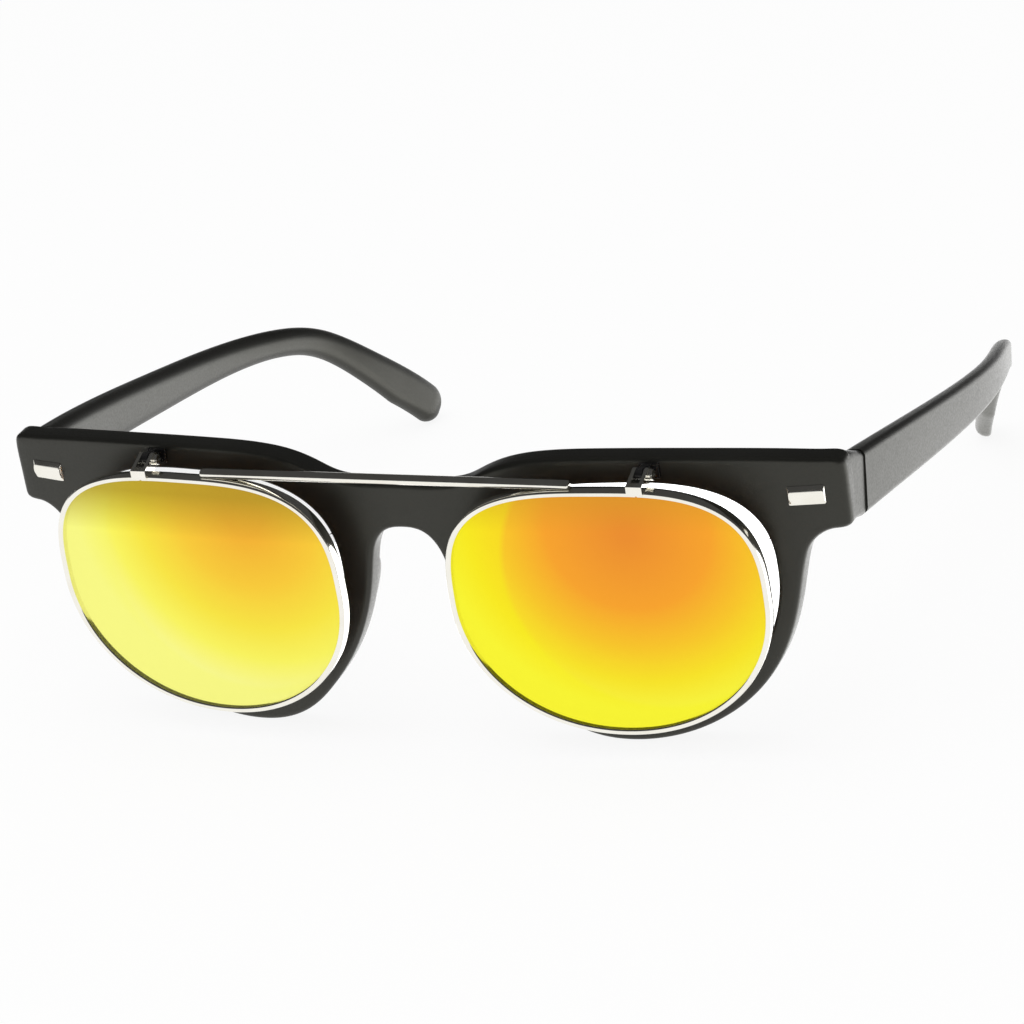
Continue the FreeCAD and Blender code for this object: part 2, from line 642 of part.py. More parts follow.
def build():
    """All pieces in the frame of the front."""
    pieces = {"frame_front": frame_front()}
    pairs = {"clear_lens": clear_lens(), "end_plaque": plaque_frame(plaque()),
             "front_hinge_leaf": to_front(front_leaf()), "temple_hinge_screw": to_front(hinge_screw()),
             "temple": to_front(temple()), "temple_hinge_leaf": to_front(temple_leaf()),
             "flip_rim": flip_rim(), "mirror_lens": mirror_lens()}
    for name, shape in pairs.items():
        pieces[name + "_right"] = shape
        pieces[name + "_left"] = mirrored(shape)
    for side, word in ((1, "_right"), (-1, "_left")):
        pieces["flip_bracket" + word] = flip_bracket(side)
        pieces["flip_fork" + word] = flip_fork(side)
        pieces["flip_screw" + word] = flip_screw(side)
        pieces["flip_washer" + word] = flip_washer(side)
    pieces["brow_bar"] = brow_bar()
    return pieces


def lowest(points, lean):
    return min(p.y * math.sin(lean) + p.z * math.cos(lean) for p in points)


def resting_lean(front_points, temple_points):
    """Lean about x at which the rims and the temple tips stand on one level."""
    low = 0.0
    high = math.radians(TEMPLE_SLOPE)
    while high - low > LEAN_STEP:
        lean = (low + high) / 2
        if lowest(temple_points, lean) < lowest(front_points, lean):
            low = lean
        else:
            high = lean
    return (low + high) / 2


def settle(pieces):
    """Leans the glasses to stand on the rims and tips, with the origin under their middle."""
    front_points = pieces["frame_front"].tessellate(MESH_STEP)[0]
    temple_points = pieces["temple_right"].tessellate(MESH_STEP)[0]
    lean = resting_lean(front_points, temple_points)
    turn = FreeCAD.Rotation(V(1, 0, 0), math.degrees(lean))
    points = []
    for shape in pieces.values():
        points += [turn.multVec(p) for p in shape.tessellate(MESH_STEP)[0]]
    depths = [p.y for p in points]
    floor = min(p.z for p in points)
    return FreeCAD.Placement(V(0, -(min(depths) + max(depths)) / 2, -floor), turn)


pieces = build()
stand = settle(pieces)
os.makedirs("parts", exist_ok=True)
for name in sorted(pieces):
    shape = pieces[name]
    shape.Placement = stand.multiply(shape.Placement)
    shape.exportStep("parts/" + name + ".step")
    size = shape.BoundBox
    print(name, shape.ShapeType, len(shape.Solids), shape.isValid(), round(shape.Volume, 2),
          [round(v, 2) for v in (size.XMin, size.XMax, size.YMin, size.YMax, size.ZMin, size.ZMax)])

slope = math.radians(TEMPLE_SLOPE)
hinge_up = stand.Rotation.multVec(V(0, math.sin(slope), math.cos(slope)))
print("stand", stand.Base, stand.Rotation.Angle)
print("flip axis", stand.multVec(V(0, flip_axis_y, flip_axis_z)))
print("temple axis point", stand.multVec(V(hinge_axis_x, joint_y, joint_z)), "along", hinge_up)
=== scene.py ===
# %% [markdown]
# # Flip up sunglasses
# The glasses have a matte black moulded front, two folding temples and a bright wire carrier with two
# gold mirror lenses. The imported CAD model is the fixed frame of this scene: every new surface is worked
# out in the same place and size, so that the hinges still turn where they should. The model could be
# shown as it comes, but its facets are flat and its finish is plain, so the large pieces are rebuilt
# here as smooth surfaces and the small ones get softened edges.

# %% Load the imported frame
import json
import math

import bmesh
import bpy
import numpy as np
from mathutils import Matrix, Vector


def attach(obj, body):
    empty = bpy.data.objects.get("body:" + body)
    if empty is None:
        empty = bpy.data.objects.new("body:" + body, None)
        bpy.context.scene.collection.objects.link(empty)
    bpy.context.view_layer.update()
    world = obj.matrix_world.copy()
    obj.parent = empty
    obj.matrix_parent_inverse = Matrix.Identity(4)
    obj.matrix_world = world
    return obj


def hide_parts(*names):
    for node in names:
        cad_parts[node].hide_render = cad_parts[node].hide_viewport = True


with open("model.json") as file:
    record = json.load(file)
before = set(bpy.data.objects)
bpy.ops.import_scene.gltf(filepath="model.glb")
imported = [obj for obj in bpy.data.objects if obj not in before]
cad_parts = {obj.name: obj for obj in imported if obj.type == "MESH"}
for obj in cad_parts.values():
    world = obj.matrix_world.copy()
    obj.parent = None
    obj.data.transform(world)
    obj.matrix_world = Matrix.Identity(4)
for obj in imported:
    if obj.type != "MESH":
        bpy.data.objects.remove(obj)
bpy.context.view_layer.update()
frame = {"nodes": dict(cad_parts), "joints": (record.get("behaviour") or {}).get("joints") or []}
joints = {joint["name"]: joint for joint in frame["joints"]}

# %% [markdown]
# ## The upright frame of the front
# An optician draws the front upright, in millimetres, and only then sets the glasses on the table, where
# they lean a little. We do the same: each shape is worked out upright and one function carries it into
# the scene. The lean comes from the temple hinge, whose pin is square to the temple, and the place comes
# from the flip hinge. Both are read from the frame, so nothing is fitted by eye.

# %% Sizes of the front and its place in the scene
MM = 0.001
FRONT_WIDTH = 143.2
FRONT_HEIGHT = 50.0
FRONT_CURVE_RADIUS = 330.0
FRONT_THICKNESS = 4.0
TEMPLE_SLOPE = math.radians(13.1)
FLIP_HINGE_X = 42.12
FLIP_AXIS_STANDOFF = 3.5
FLIP_AXIS_BELOW_TOP = 1.3
half_width = FRONT_WIDTH / 2


def face_y(x, depth=0.0):
    """Depth of the curved front: a cylinder standing behind it, its radius less the layer's depth."""
    return FRONT_CURVE_RADIUS - np.sqrt((FRONT_CURVE_RADIUS - depth) ** 2 - np.square(x))


def leaned(points, angle):
    """Points turned about the x axis: y and z trade places by the sine and cosine of the angle."""
    x, y, z = np.moveaxis(np.asarray(points, float), -1, 0)
    c, s = math.cos(angle), math.sin(angle)
    return np.stack([x, c * y - s * z, s * y + c * z], axis=-1)


pin = joints["temple_right_fold"]["axis"]
lean = TEMPLE_SLOPE - math.atan2(pin[1], pin[2])
flip_axis = np.array([0.0, face_y(FLIP_HINGE_X) - FLIP_AXIS_STANDOFF, FRONT_HEIGHT - FLIP_AXIS_BELOW_TOP])
origin = np.array(joints["flip_up"]["pos_m"]) - leaned(flip_axis, lean) * MM


def to_scene(points):
    """Upright millimetres to scene metres: lean about x, shrink, and shift to the front's place."""
    return leaned(points, lean) * MM + origin


print("lean", round(math.degrees(lean), 3), "origin", origin.round(5))

# %% [markdown]
# ## Three tools for surfaces
# A smooth line through a few points is a cubic spline, found with one small linear system. A grid of
# points becomes a mesh when each little cell is made a four-sided face. A piece is then one or more such
# grids welded where they meet. Blender's curves and lofts could do parts of this, but arrays keep every
# point where the formula says, and the same code serves every piece.

# %% Smooth lines
def smooth_line(knots, values, places):
    """Cubic spline: between two knots a straight mix of their values plus a share of their bends. One
    linear balance gives the bends: the slope is unbroken, and each end shares its neighbour's cubic."""
    knots, values = np.asarray(knots, float), np.asarray(values, float)
    step = np.diff(knots)[:, None]
    slope = np.diff(values, axis=0) / step
    width = step[:, 0]
    balance = np.diag(np.r_[1.0, 2 * (width[:-1] + width[1:]), 1.0])
    balance += np.diag(np.r_[0.0, width[1:]], 1) + np.diag(np.r_[width[:-1], 0.0], -1)
    balance[0, :3] = width[1], -width[0] - width[1], width[0]
    balance[-1, -3:] = width[-1], -width[-1] - width[-2], width[-2]
    pull = np.zeros_like(values)
    pull[1:-1] = 6 * np.diff(slope, axis=0)
    bend = np.linalg.solve(balance, pull)
    cell = np.clip(np.searchsorted(knots, places, side="right") - 1, 0, len(knots) - 2)
    b = ((places - knots[cell]) / width[cell])[:, None]
    a = 1 - b
    curve = (a ** 3 - a) * bend[cell] + (b ** 3 - b) * bend[cell + 1]
    return a * values[cell] + b * values[cell + 1] + curve * step[cell] ** 2 / 6


def chord_knots(points):
    """Running length of the straight chords between points."""
    chords = np.linalg.norm(np.diff(points, axis=0), axis=1)
    return np.r_[0.0, np.cumsum(chords)]


# %% Grids and pieces
WELD = 0.002 * MM
SHARP_ANGLE = math.radians(35.0)
SIDES = {"right": 1, "left": -1}


def grid_patch(points, wrap_rows=False, wrap_columns=False):
    """Grid of points as corners and quads; a wrapped side joins its last line to its first."""
    rows, columns = points.shape[:2]
    index = np.arange(rows * columns).reshape(rows, columns)
    index = np.vstack([index, index[:1]]) if wrap_rows else index
    index = np.hstack([index, index[:, :1]]) if wrap_columns else index
    quads = np.stack([index[:-1, :-1], index[:-1, 1:], index[1:, 1:], index[1:, :-1]], axis=-1)
    return points.reshape(-1, 3), quads.reshape(-1, 4)


def other_side(patch):
    """The same patch on the other half of the glasses: x changes sign and the quads turn round."""
    points, quads = patch
    return points * (-1, 1, 1), quads[:, ::-1]


def on_side(patches, sign):
    """Patches of the right half as they are, or turned to the other half where the sign is negative."""
    return patches if sign > 0 else [other_side(patch) for patch in patches]


def closed_end(ring):
    """Flat end of a bar: its last ring drawn in to its middle."""
    return np.repeat(ring.mean(axis=0)[None], len(ring), axis=0)[None]


def capped(rings):
    """Rings of a bar with both ends closed."""
    return np.concatenate([closed_end(rings[0]), rings, closed_end(rings[-1])])


def welded_mesh(name, patches):
    """One mesh from upright patches, welded where they meet, faces outwards, smooth up to an angle."""
    start = np.cumsum([0] + [len(points) for points, quads in patches])
    points = to_scene(np.vstack([points for points, quads in patches]))
    quads = np.vstack([quads + first for (_, quads), first in zip(patches, start)])
    mesh = bpy.data.meshes.new(name)
    mesh.from_pydata(points.tolist(), [], quads.tolist())
    shell = bmesh.new()
    shell.from_mesh(mesh)
    bmesh.ops.remove_doubles(shell, verts=shell.verts, dist=WELD)
    bmesh.ops.recalc_face_normals(shell, faces=shell.faces)
    shell.to_mesh(mesh)
    shell.free()
    mesh.shade_smooth()
    mesh.set_sharp_from_angle(angle=SHARP_ANGLE)
    return mesh


def add_piece(name, mesh, body, nodes, finish):
    """Puts a mesh in the scene as a piece of a body that stands for CAD nodes and has a finish."""
    piece = bpy.data.objects.new(name, mesh)
    bpy.context.scene.collection.objects.link(piece)
    mesh.materials.append(finish)
    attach(piece, body)
    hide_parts(*nodes)
    print(name, len(mesh.polygons), "faces on", body)
    return piece


# %% [markdown]
# ## Finishes
# A finish is a Principled shader whose roughness, colour and bump vary a little, as they do on a real
# moulding or plating. Image textures would need unwrapping and files, so noise in Object coordinates
# does it: it sits still on the piece, has a real size in metres and works from every side.

# %% Helpers for the finishes
TONE_LOW = 0.3
TONE_HIGH = 0.7


def start_finish(name, roughness, metallic=0.0):
    """New node material with its shader and the piece's own coordinates."""
    finish = bpy.data.materials.new(name)
    finish.use_nodes = True
    nodes = finish.node_tree.nodes
    shader = nodes["Principled BSDF"]
    shader.inputs["Roughness"].default_value = roughness
    shader.inputs["Metallic"].default_value = metallic
    place = nodes.new("ShaderNodeTexCoord").outputs["Object"]
    return finish, nodes, finish.node_tree.links, shader, place


def speckle(nodes, links, place, size, detail=2.0, stretch=(1, 1, 1)):
    """Noise with grains of about this size in metres, drawn out along any axis by a small stretch."""
    turn = nodes.new("ShaderNodeMapping")
    turn.inputs["Scale"].default_value = [1 / (size * s) for s in stretch]
    noise = nodes.new("ShaderNodeTexNoise")
    noise.inputs["Scale"].default_value = 1.0
    noise.inputs["Detail"].default_value = detail
    links.new(place, turn.inputs["Vector"])
    links.new(turn.outputs["Vector"], noise.inputs["Vector"])
    return noise.outputs[0]


def between(nodes, links, value, low, high, start=0.35, end=0.65):
    """Values from start to end spread from low to high."""
    spread = nodes.new("ShaderNodeMapRange")
    for name, number in (("From Min", start), ("From Max", end), ("To Min", low), ("To Max", high)):
        spread.inputs[name].default_value = number
    links.new(value, spread.inputs["Value"])
    return spread.outputs["Result"]


def colours(nodes, links, value, stops):
    """Colour ramp with a linear colour at each stop."""
    node = nodes.new("ShaderNodeValToRGB")
    ramp = node.color_ramp
    while len(ramp.elements) < len(stops):
        ramp.elements.new(1.0)
    for element, (where, colour) in zip(ramp.elements, stops):
        element.position = where
        element.color = (*colour, 1.0)
    links.new(value, node.inputs["Fac"])
    return node.outputs["Color"]


def mottled(nodes, links, shader, value, dark, light):
    """Base colour that goes from a dark to a light tone over the middle of a noise."""
    tone = colours(nodes, links, value, [(TONE_LOW, dark), (TONE_HIGH, light)])
    links.new(tone, shader.inputs["Base Color"])


def hazed(nodes, links, shader, value, low, high):
    """Roughness that goes from low to high over the middle of a noise."""
    links.new(between(nodes, links, value, low, high), shader.inputs["Roughness"])


def grain(nodes, links, shader, height, depth, strength):
    """Bump from a height between 0 and 1, this deep in metres."""
    bump = nodes.new("ShaderNodeBump")
    bump.inputs["Distance"].default_value = depth
    bump.inputs["Strength"].default_value = strength
    links.new(height, bump.inputs["Height"])
    links.new(bump.outputs["Normal"], shader.inputs["Normal"])


def linear(red, green, blue):
    """Screen colour from 0 to 255 as the linear colour that a shader takes."""
    share = np.array([red, green, blue]) / 255
    return tuple(np.where(share > 0.04045, ((share + 0.055) / 1.055) ** 2.4, share / 12.92).tolist())


# %% [markdown]
# ### Soft-touch black
# The front and the temples are one matte black: a very fine even grain, no shine, and a pale bloom where
# the surface is seen edge-on. A rough gloss gives that bloom by itself, because every surface reflects
# more at a low angle, and slow noise keeps the large faces from looking like paper.

# %% Soft-touch black
def soft_black():
    """Slow noise for the tone, fine noise for the roughness and the grain."""
    finish, nodes, links, shader, place = start_finish("soft_black", roughness=0.4)
    cloud = speckle(nodes, links, place, size=0.012, detail=3.0)
    dust = speckle(nodes, links, place, size=0.00035)
    mottled(nodes, links, shader, cloud, (0.0075, 0.0075, 0.0066), (0.0105, 0.0105, 0.0094))
    hazed(nodes, links, shader, dust, 0.36, 0.46)
    grain(nodes, links, shader, dust, depth=0.00003, strength=0.35)
    shader.inputs["Specular IOR Level"].default_value = 0.6
    shader.inputs["Specular Tint"].default_value = (1.0, 0.99, 0.87, 1.0)
    return finish


black = soft_black()
print("finish", black.name)

# %% [markdown]
# ### Bright plate, dark lacquer and hinge steel
# The rims, bar, forks and end plates are bright plated wire and sheet. Plating is nearly a mirror with a
# faint haze in patches and hairlines along the wire. The flip brackets are black lacquered, and the
# temple hinges are plain steel with a drawn grain.

# %% Bright plate, dark lacquer and hinge steel
def bright_plate():
    """Patches of haze for tone and roughness, and hairlines drawn out along x."""
    finish, nodes, links, shader, place = start_finish("bright_plate", roughness=0.1, metallic=1.0)
    haze = speckle(nodes, links, place, size=0.004, detail=3.0)
    hairs = speckle(nodes, links, place, size=0.00012, stretch=(12, 1, 1))
    mottled(nodes, links, shader, haze, (0.89, 0.865, 0.78), (0.95, 0.93, 0.86))
    hazed(nodes, links, shader, haze, 0.07, 0.14)
    grain(nodes, links, shader, hairs, depth=0.000004, strength=0.25)
    return finish


def dark_lacquer():
    """One cloudy noise for tone, roughness and a slight orange peel."""
    finish, nodes, links, shader, place = start_finish("dark_lacquer", roughness=0.22)
    cloud = speckle(nodes, links, place, size=0.0012, detail=3.0)
    mottled(nodes, links, shader, cloud, (0.006, 0.006, 0.0065), (0.014, 0.0135, 0.013))
    hazed(nodes, links, shader, cloud, 0.16, 0.3)
    grain(nodes, links, shader, cloud, depth=0.00002, strength=0.2)
    return finish


def hinge_steel():
    """One fine noise drawn out along y for tone, roughness and grain."""
    finish, nodes, links, shader, place = start_finish("hinge_steel", roughness=0.3, metallic=1.0)
    drawn = speckle(nodes, links, place, size=0.0001, detail=3.0, stretch=(1, 20, 1))
    mottled(nodes, links, shader, drawn, (0.48, 0.48, 0.475), (0.6, 0.6, 0.59))
    hazed(nodes, links, shader, drawn, 0.24, 0.38)
    grain(nodes, links, shader, drawn, depth=0.000006, strength=0.3)
    return finish


plate, lacquer, steel = bright_plate(), dark_lacquer(), hinge_steel()
print("finishes", plate.name, lacquer.name, steel.name)

# %% [markdown]
# ### Gold mirror coat, its tinted back and clear plastic
# The coat is a metal film, deep orange round a heart near the top of each lens and yellow towards its
# edges. These tones are painted by the place on the lens as painted reflection, in place of the colour
# the film reflects at each angle, and the lens on the left, turned further from the light, is painted
# paler as painted light. Along the nose side and the foot a brighter crescent is painted light, and a
# darker strip along the top is painted shade. A film like this is laid on the front only, so the back of
# the lens is smoky amber plastic. The fixed lenses behind are clear. The coat is not fully metallic, so
# that it stays golden when the lenses are flipped up and mirror only the dim ceiling.

# %% Gold mirror coat
LENS_HALF = 24.85
PAINTED_TONE_REACH = 1.3
PAINTED_TONE_HEART = {"right": (0.19, 0.0, 0.50), "left": (0.42, 0.0, 0.53)}
# Painted reflection and painted light: tones from an orange heart to yellow edges stand in for the colour the
# film reflects, and the left lens is painted paler where it is turned from the light.
PAINTED_COAT_TONES = {
    "right": [(0.04, linear(240, 146, 50)), (0.40, linear(252, 167, 48)), (0.62, linear(253, 202, 44)),
              (0.80, linear(253, 232, 42)), (0.97, linear(254, 251, 66))],
    "left": [(0.10, linear(247, 181, 54)), (0.38, linear(253, 206, 60)), (0.62, linear(253, 233, 70)),
             (0.80, linear(254, 248, 98)), (1.00, linear(254, 254, 150))]}
# Painted light: a brighter crescent along the nose side and the foot of each lens.
PAINTED_CRESCENT_CENTRE = (0.29, 0.0, 0.22)
PAINTED_CRESCENT_TONE = {"right": linear(254, 247, 20), "left": linear(253, 252, 110)}
PAINTED_CRESCENT_SHARE = 0.4
PAINTED_CRESCENT_EDGE = (0.92, 0.96)
# Painted shade: a darker strip along the top of each lens.
PAINTED_SHADE_TONE = {"right": linear(196, 150, 42), "left": linear(176, 148, 42)}
PAINTED_SHADE_BAND = {"right": (0.50, 0.80, 0.5), "left": (0.36, 0.66, 0.8)}


def mixed(nodes, links, share, under, over):
    """Under with a share of one plain colour over it."""
    blend = nodes.new("ShaderNodeMix")
    blend.data_type = "RGBA"
    links.new(share, blend.inputs["Factor"])
    links.new(under, blend.inputs["A"])
    blend.inputs["B"].default_value = (*over, 1.0)
    return blend.outputs["Result"]


def far_from(nodes, links, where, centre):
    """Distance of a place from a centre."""
    away = nodes.new("ShaderNodeVectorMath")
    away.operation = "DISTANCE"
    away.inputs[1].default_value = centre
    links.new(where, away.inputs[0])
    return away.outputs["Value"]


def gold_coat_and_painted_light(side, centre):
    """Coat colour painted from the place on the lens: tones by the distance from the heart, which are painted
    reflection, the left lens painted paler as painted light, a brighter crescent outside a circle as painted
    light, and a darker strip along the top as painted shade."""
    finish, nodes, links, shader, place = start_finish("gold_coat_and_painted_light_" + side, roughness=0.06, metallic=0.82)
    reach = LENS_HALF * MM
    onto = nodes.new("ShaderNodeMapping")
    onto.inputs["Scale"].default_value = (1 / reach, 0.0, 1 / reach)
    onto.inputs["Location"].default_value = (-centre[0] / reach, 0.0, -centre[2] / reach)
    links.new(place, onto.inputs["Vector"])
    where = onto.outputs["Vector"]
    # Painted reflection: the tones follow the distance from the heart; the paler left tones are painted
    # light.
    depth = between(nodes, links, far_from(nodes, links, where, PAINTED_TONE_HEART[side]), 0.0, 1.0, 0.0, PAINTED_TONE_REACH)
    tone = colours(nodes, links, depth, PAINTED_COAT_TONES[side])
    # Painted light: the brighter crescent outside a circle round this centre, mixed over the tones.
    off = far_from(nodes, links, where, PAINTED_CRESCENT_CENTRE)
    rim = between(nodes, links, off, 0.0, PAINTED_CRESCENT_SHARE, *PAINTED_CRESCENT_EDGE)
    tone = mixed(nodes, links, rim, tone, PAINTED_CRESCENT_TONE[side])
    # Painted shade: the darker strip along the top, mixed over the tones.
    height = nodes.new("ShaderNodeSeparateXYZ")
    links.new(where, height.inputs[0])
    low, high, most = PAINTED_SHADE_BAND[side]
    painted_top_shade = between(nodes, links, height.outputs["Z"], 0.0, most, low, high)
    tone = mixed(nodes, links, painted_top_shade, tone, PAINTED_SHADE_TONE[side])
    links.new(tone, shader.inputs["Base Color"])
    shader.inputs["Specular IOR Level"].default_value = 0.1
    haze = speckle(nodes, links, place, size=0.006, detail=3.0)
    hazed(nodes, links, shader, haze, 0.05, 0.11)
    grain(nodes, links, shader, haze, depth=0.00001, strength=0.15)
    return finish


def amber_back():
    """One cloudy noise for the tone and the roughness."""
    finish, nodes, links, shader, place = start_finish("amber_back", roughness=0.12)
    cloud = speckle(nodes, links, place, size=0.01)
    mottled(nodes, links, shader, cloud, (0.17, 0.075, 0.018), (0.21, 0.1, 0.028))
    hazed(nodes, links, shader, cloud, 0.08, 0.16)
    return finish


def clear_plastic():
    """Clear shader whose roughness follows faint smears."""
    finish, nodes, links, shader, place = start_finish("clear_plastic", roughness=0.03)
    smear = speckle(nodes, links, place, size=0.008, detail=3.0)
    shader.inputs["Base Color"].default_value = (0.97, 0.98, 0.985, 1.0)
    shader.inputs["Transmission Weight"].default_value = 1.0
    shader.inputs["IOR"].default_value = 1.49
    hazed(nodes, links, shader, smear, 0.015, 0.05)
    return finish


amber, clear = amber_back(), clear_plastic()
print("finishes", amber.name, clear.name)

# %% [markdown]
# ## The moulded front
# The front is one moulding: a curved plate with two lens openings, a return at each end that meets the
# temple, and two nose pads. A flat outline could be extruded and bent, but rounded edges would then need
# a bevel that fails in the tight corners. Here each half is a ring: columns run from the edge of the
# opening out to the outline, and rows go round the plate's section with both edges rolled over.

# %% Outline and opening
OUTLINE_SHARES = np.array([
    (0.000, 0.902), (0.111, 0.902), (0.161, 0.916), (0.202, 0.944), (0.257, 0.975), (0.338, 0.995),
    (0.459, 1.000), (0.697, 0.990), (0.892, 0.972), (0.955, 0.965), (0.981, 0.960), (0.994, 0.948),
    (0.999, 0.923), (1.000, 0.845), (1.000, 0.758), (0.997, 0.736), (0.986, 0.726), (0.957, 0.721),
    (0.926, 0.702), (0.904, 0.668), (0.890, 0.618), (0.866, 0.480), (0.841, 0.368), (0.803, 0.260),
    (0.746, 0.160), (0.681, 0.088), (0.599, 0.032), (0.525, 0.006), (0.459, 0.000), (0.388, 0.014),
    (0.312, 0.066), (0.243, 0.160), (0.187, 0.262), (0.144, 0.370), (0.107, 0.510), (0.089, 0.620),
    (0.073, 0.690), (0.043, 0.736), (0.000, 0.748)])
OPENING_CENTRE = (35.67, 29.21)
OPENING_HALF = 23.74
OPENING_RISE = (16.29, 26.01)
OPENING_POWERS = (2.7, 1.9)
STEPS_PER_SPAN = 12
SEAM_STEPS = 10
NUDGE_SHARE = 1e-5


def half_outline():
    """Right half of the edge: a closed spline through both halves, read from the brow to the bridge."""
    half = OUTLINE_SHARES * (half_width, FRONT_HEIGHT)
    other = half[::-1] * (-1, 1)
    loop = np.vstack([other[:-1], half, other[1:]])
    knots = chord_knots(loop)
    first = len(half) - 1
    spans = np.linspace(0, first, first * STEPS_PER_SPAN + 1)
    places = np.interp(spans, np.arange(first + 1), knots[first:2 * first + 1])
    edge = smooth_line(knots, loop, places)
    nudge = knots[-1] * NUDGE_SHARE
    run = smooth_line(knots, loop, places + nudge) - smooth_line(knots, loop, places - nudge)
    run /= np.linalg.norm(run, axis=1, keepdims=True)
    return edge, np.stack([run[:, 1], -run[:, 0]], axis=1)


def egg_line(centre, half, rise, powers, turn):
    """Lens outline: a superellipse with one power and height above the middle and others below."""
    across, up = np.cos(turn), np.sin(turn)
    power = np.where(up > 0, powers[0], powers[1])
    tall = np.where(up > 0, rise[0], rise[1])
    reach = (np.abs(across) ** power + np.abs(up) ** power) ** (-1 / power)
    return np.stack([centre[0] + half * reach * across, centre[1] + tall * reach * up], axis=-1)


edge, edge_in = half_outline()
print("outline points", len(edge), "lowest", edge[:, 1].min().round(3), "widest", edge[:, 0].max().round(3))

# %% Plate of the front
EDGE_ROUND = 0.8
END_ROUND = 1.0
END_BACK_ROUND = 1.3
END_START_SHARE = 0.96
END_FADE_SHARE = 0.03
OPENING_ROUND = 0.45
FAN_CENTRE = np.array([35.67, 33.0])
FACE_ROWS = np.linspace(0, 1, 9)
ROLL = np.linspace(0, math.pi / 2, 6)
RING_TURN = np.linspace(0, 2 * math.pi, 2881)


def opening_points(columns):
    """Where rays from the fan centre to the outline columns cross the opening."""
    ring = egg_line(OPENING_CENTRE, OPENING_HALF, OPENING_RISE, OPENING_POWERS, RING_TURN)
    ray = ring - FAN_CENTRE
    angle = np.arctan2(columns[:, 1] - FAN_CENTRE[1], columns[:, 0] - FAN_CENTRE[0])
    reach = np.interp(angle, np.arctan2(ray[:, 1], ray[:, 0]), np.hypot(*ray.T), period=2 * math.pi)
    return FAN_CENTRE + reach[:, None] * np.stack([np.cos(angle), np.sin(angle)], axis=1)


def rolled_edge(line, inwards, near, far):
    """Rows over a rolled edge: a quarter turn off the front face, and another on to the back face, each
    with its own radius in every column."""
    turn = ROLL[:, None]
    near, far = [np.broadcast_to(radius, len(line)) for radius in (near, far)]
    depth = np.vstack([near * (1 - np.cos(turn)), FRONT_THICKNESS - far * (1 - np.cos(turn[::-1]))])
    inset = np.vstack([near * (1 - np.sin(turn)), far * (1 - np.sin(turn[::-1]))])
    flat = line[None] + inset[..., None] * inwards[None]
    x = flat[..., 0]
    return np.stack([x, face_y(x, depth), flat[..., 1]], axis=-1)


def edge_rounds():
    """Front and back edge radius in each column. Both grow where the edge turns to the side at the end,
    the back one more, because the return takes over there."""
    at_end = np.clip((edge[:, 0] / half_width - END_START_SHARE) / END_FADE_SHARE, 0, 1)
    sideways = np.clip(-edge_in[:, 0], 0, 1) ** 2 * at_end
    return [EDGE_ROUND + (most - EDGE_ROUND) * sideways for most in (END_ROUND, END_BACK_ROUND)]


def plate_half():
    """Right half of the plate: front and back faces, the rolled outline and the rolled opening."""
    seam = np.linspace(edge[-1, 1] + EDGE_ROUND, edge[0, 1] - EDGE_ROUND, SEAM_STEPS + 2)[1:-1]
    columns = np.vstack([edge, np.stack([np.zeros(SEAM_STEPS), seam], axis=1)])
    rounds = edge_rounds()
    rims = [np.vstack([edge + edge_in * radius[:, None], columns[len(edge):]]) for radius in rounds]
    hole = opening_points(columns)
    run = np.roll(hole, -1, axis=0) - np.roll(hole, 1, axis=0)
    run /= np.linalg.norm(run, axis=1, keepdims=True)
    away = np.stack([-run[:, 1], run[:, 0]], axis=1)
    near = hole + away * OPENING_ROUND
    patches = []
    for rim, depth in zip(rims, (0.0, FRONT_THICKNESS)):
        flat = near[None] + FACE_ROWS[:, None, None] * (rim - near)[None]
        x = flat[..., 0]
        face = np.stack([x, face_y(x, depth), flat[..., 1]], axis=-1)
        patches.append(grid_patch(face, wrap_columns=True))
    patches.append(grid_patch(rolled_edge(edge, edge_in, *rounds)))
    patches.append(grid_patch(rolled_edge(hole, away, OPENING_ROUND, OPENING_ROUND), wrap_columns=True))
    return patches


plate_right = plate_half()
print("plate quads per half", sum(len(quads) for points, quads in plate_right))

# %% [markdown]
# ### Sections of the temples and of the ends that meet them
# A temple is a flat bar with soft outer edges and a rounder inside, so its section is a rectangle with
# four different corner rounds. The return of the front starts with the outline of the plate's end and
# becomes that same section at the joint, so the end looks like one piece with the front and like one bar
# with the temple. The section is worked out once, for any number of stations.

# %% Temple section and the return of the front
TEMPLE_THICKNESS = 4.1
TEMPLE_HEIGHT = 10.4
END_PROUD = 0.15
END_DEPTH = 7.8
JOINT_BELOW_TOP = 9.8
JOINT_GAP = 0.12
OUTER_ROUND_SHARE = 0.28
JOINT_ROUND_SHARES = np.array([OUTER_ROUND_SHARE, 0.50, 0.70, OUTER_ROUND_SHARE])
EAR_ROUND_SHARES = np.array([OUTER_ROUND_SHARE, 0.80, 0.66, OUTER_ROUND_SHARE])
COVER = 1.002
MOST_ROUND_SHARE = 0.45
CORNER_STEPS = 9
END_MARGIN = 0.5
RETURN_ROWS = np.linspace(0, 1, 18)
outside_x = half_width + END_PROUD
joint = np.array([0.0, face_y(outside_x - TEMPLE_THICKNESS / 2) + END_DEPTH, FRONT_HEIGHT - JOINT_BELOW_TOP])


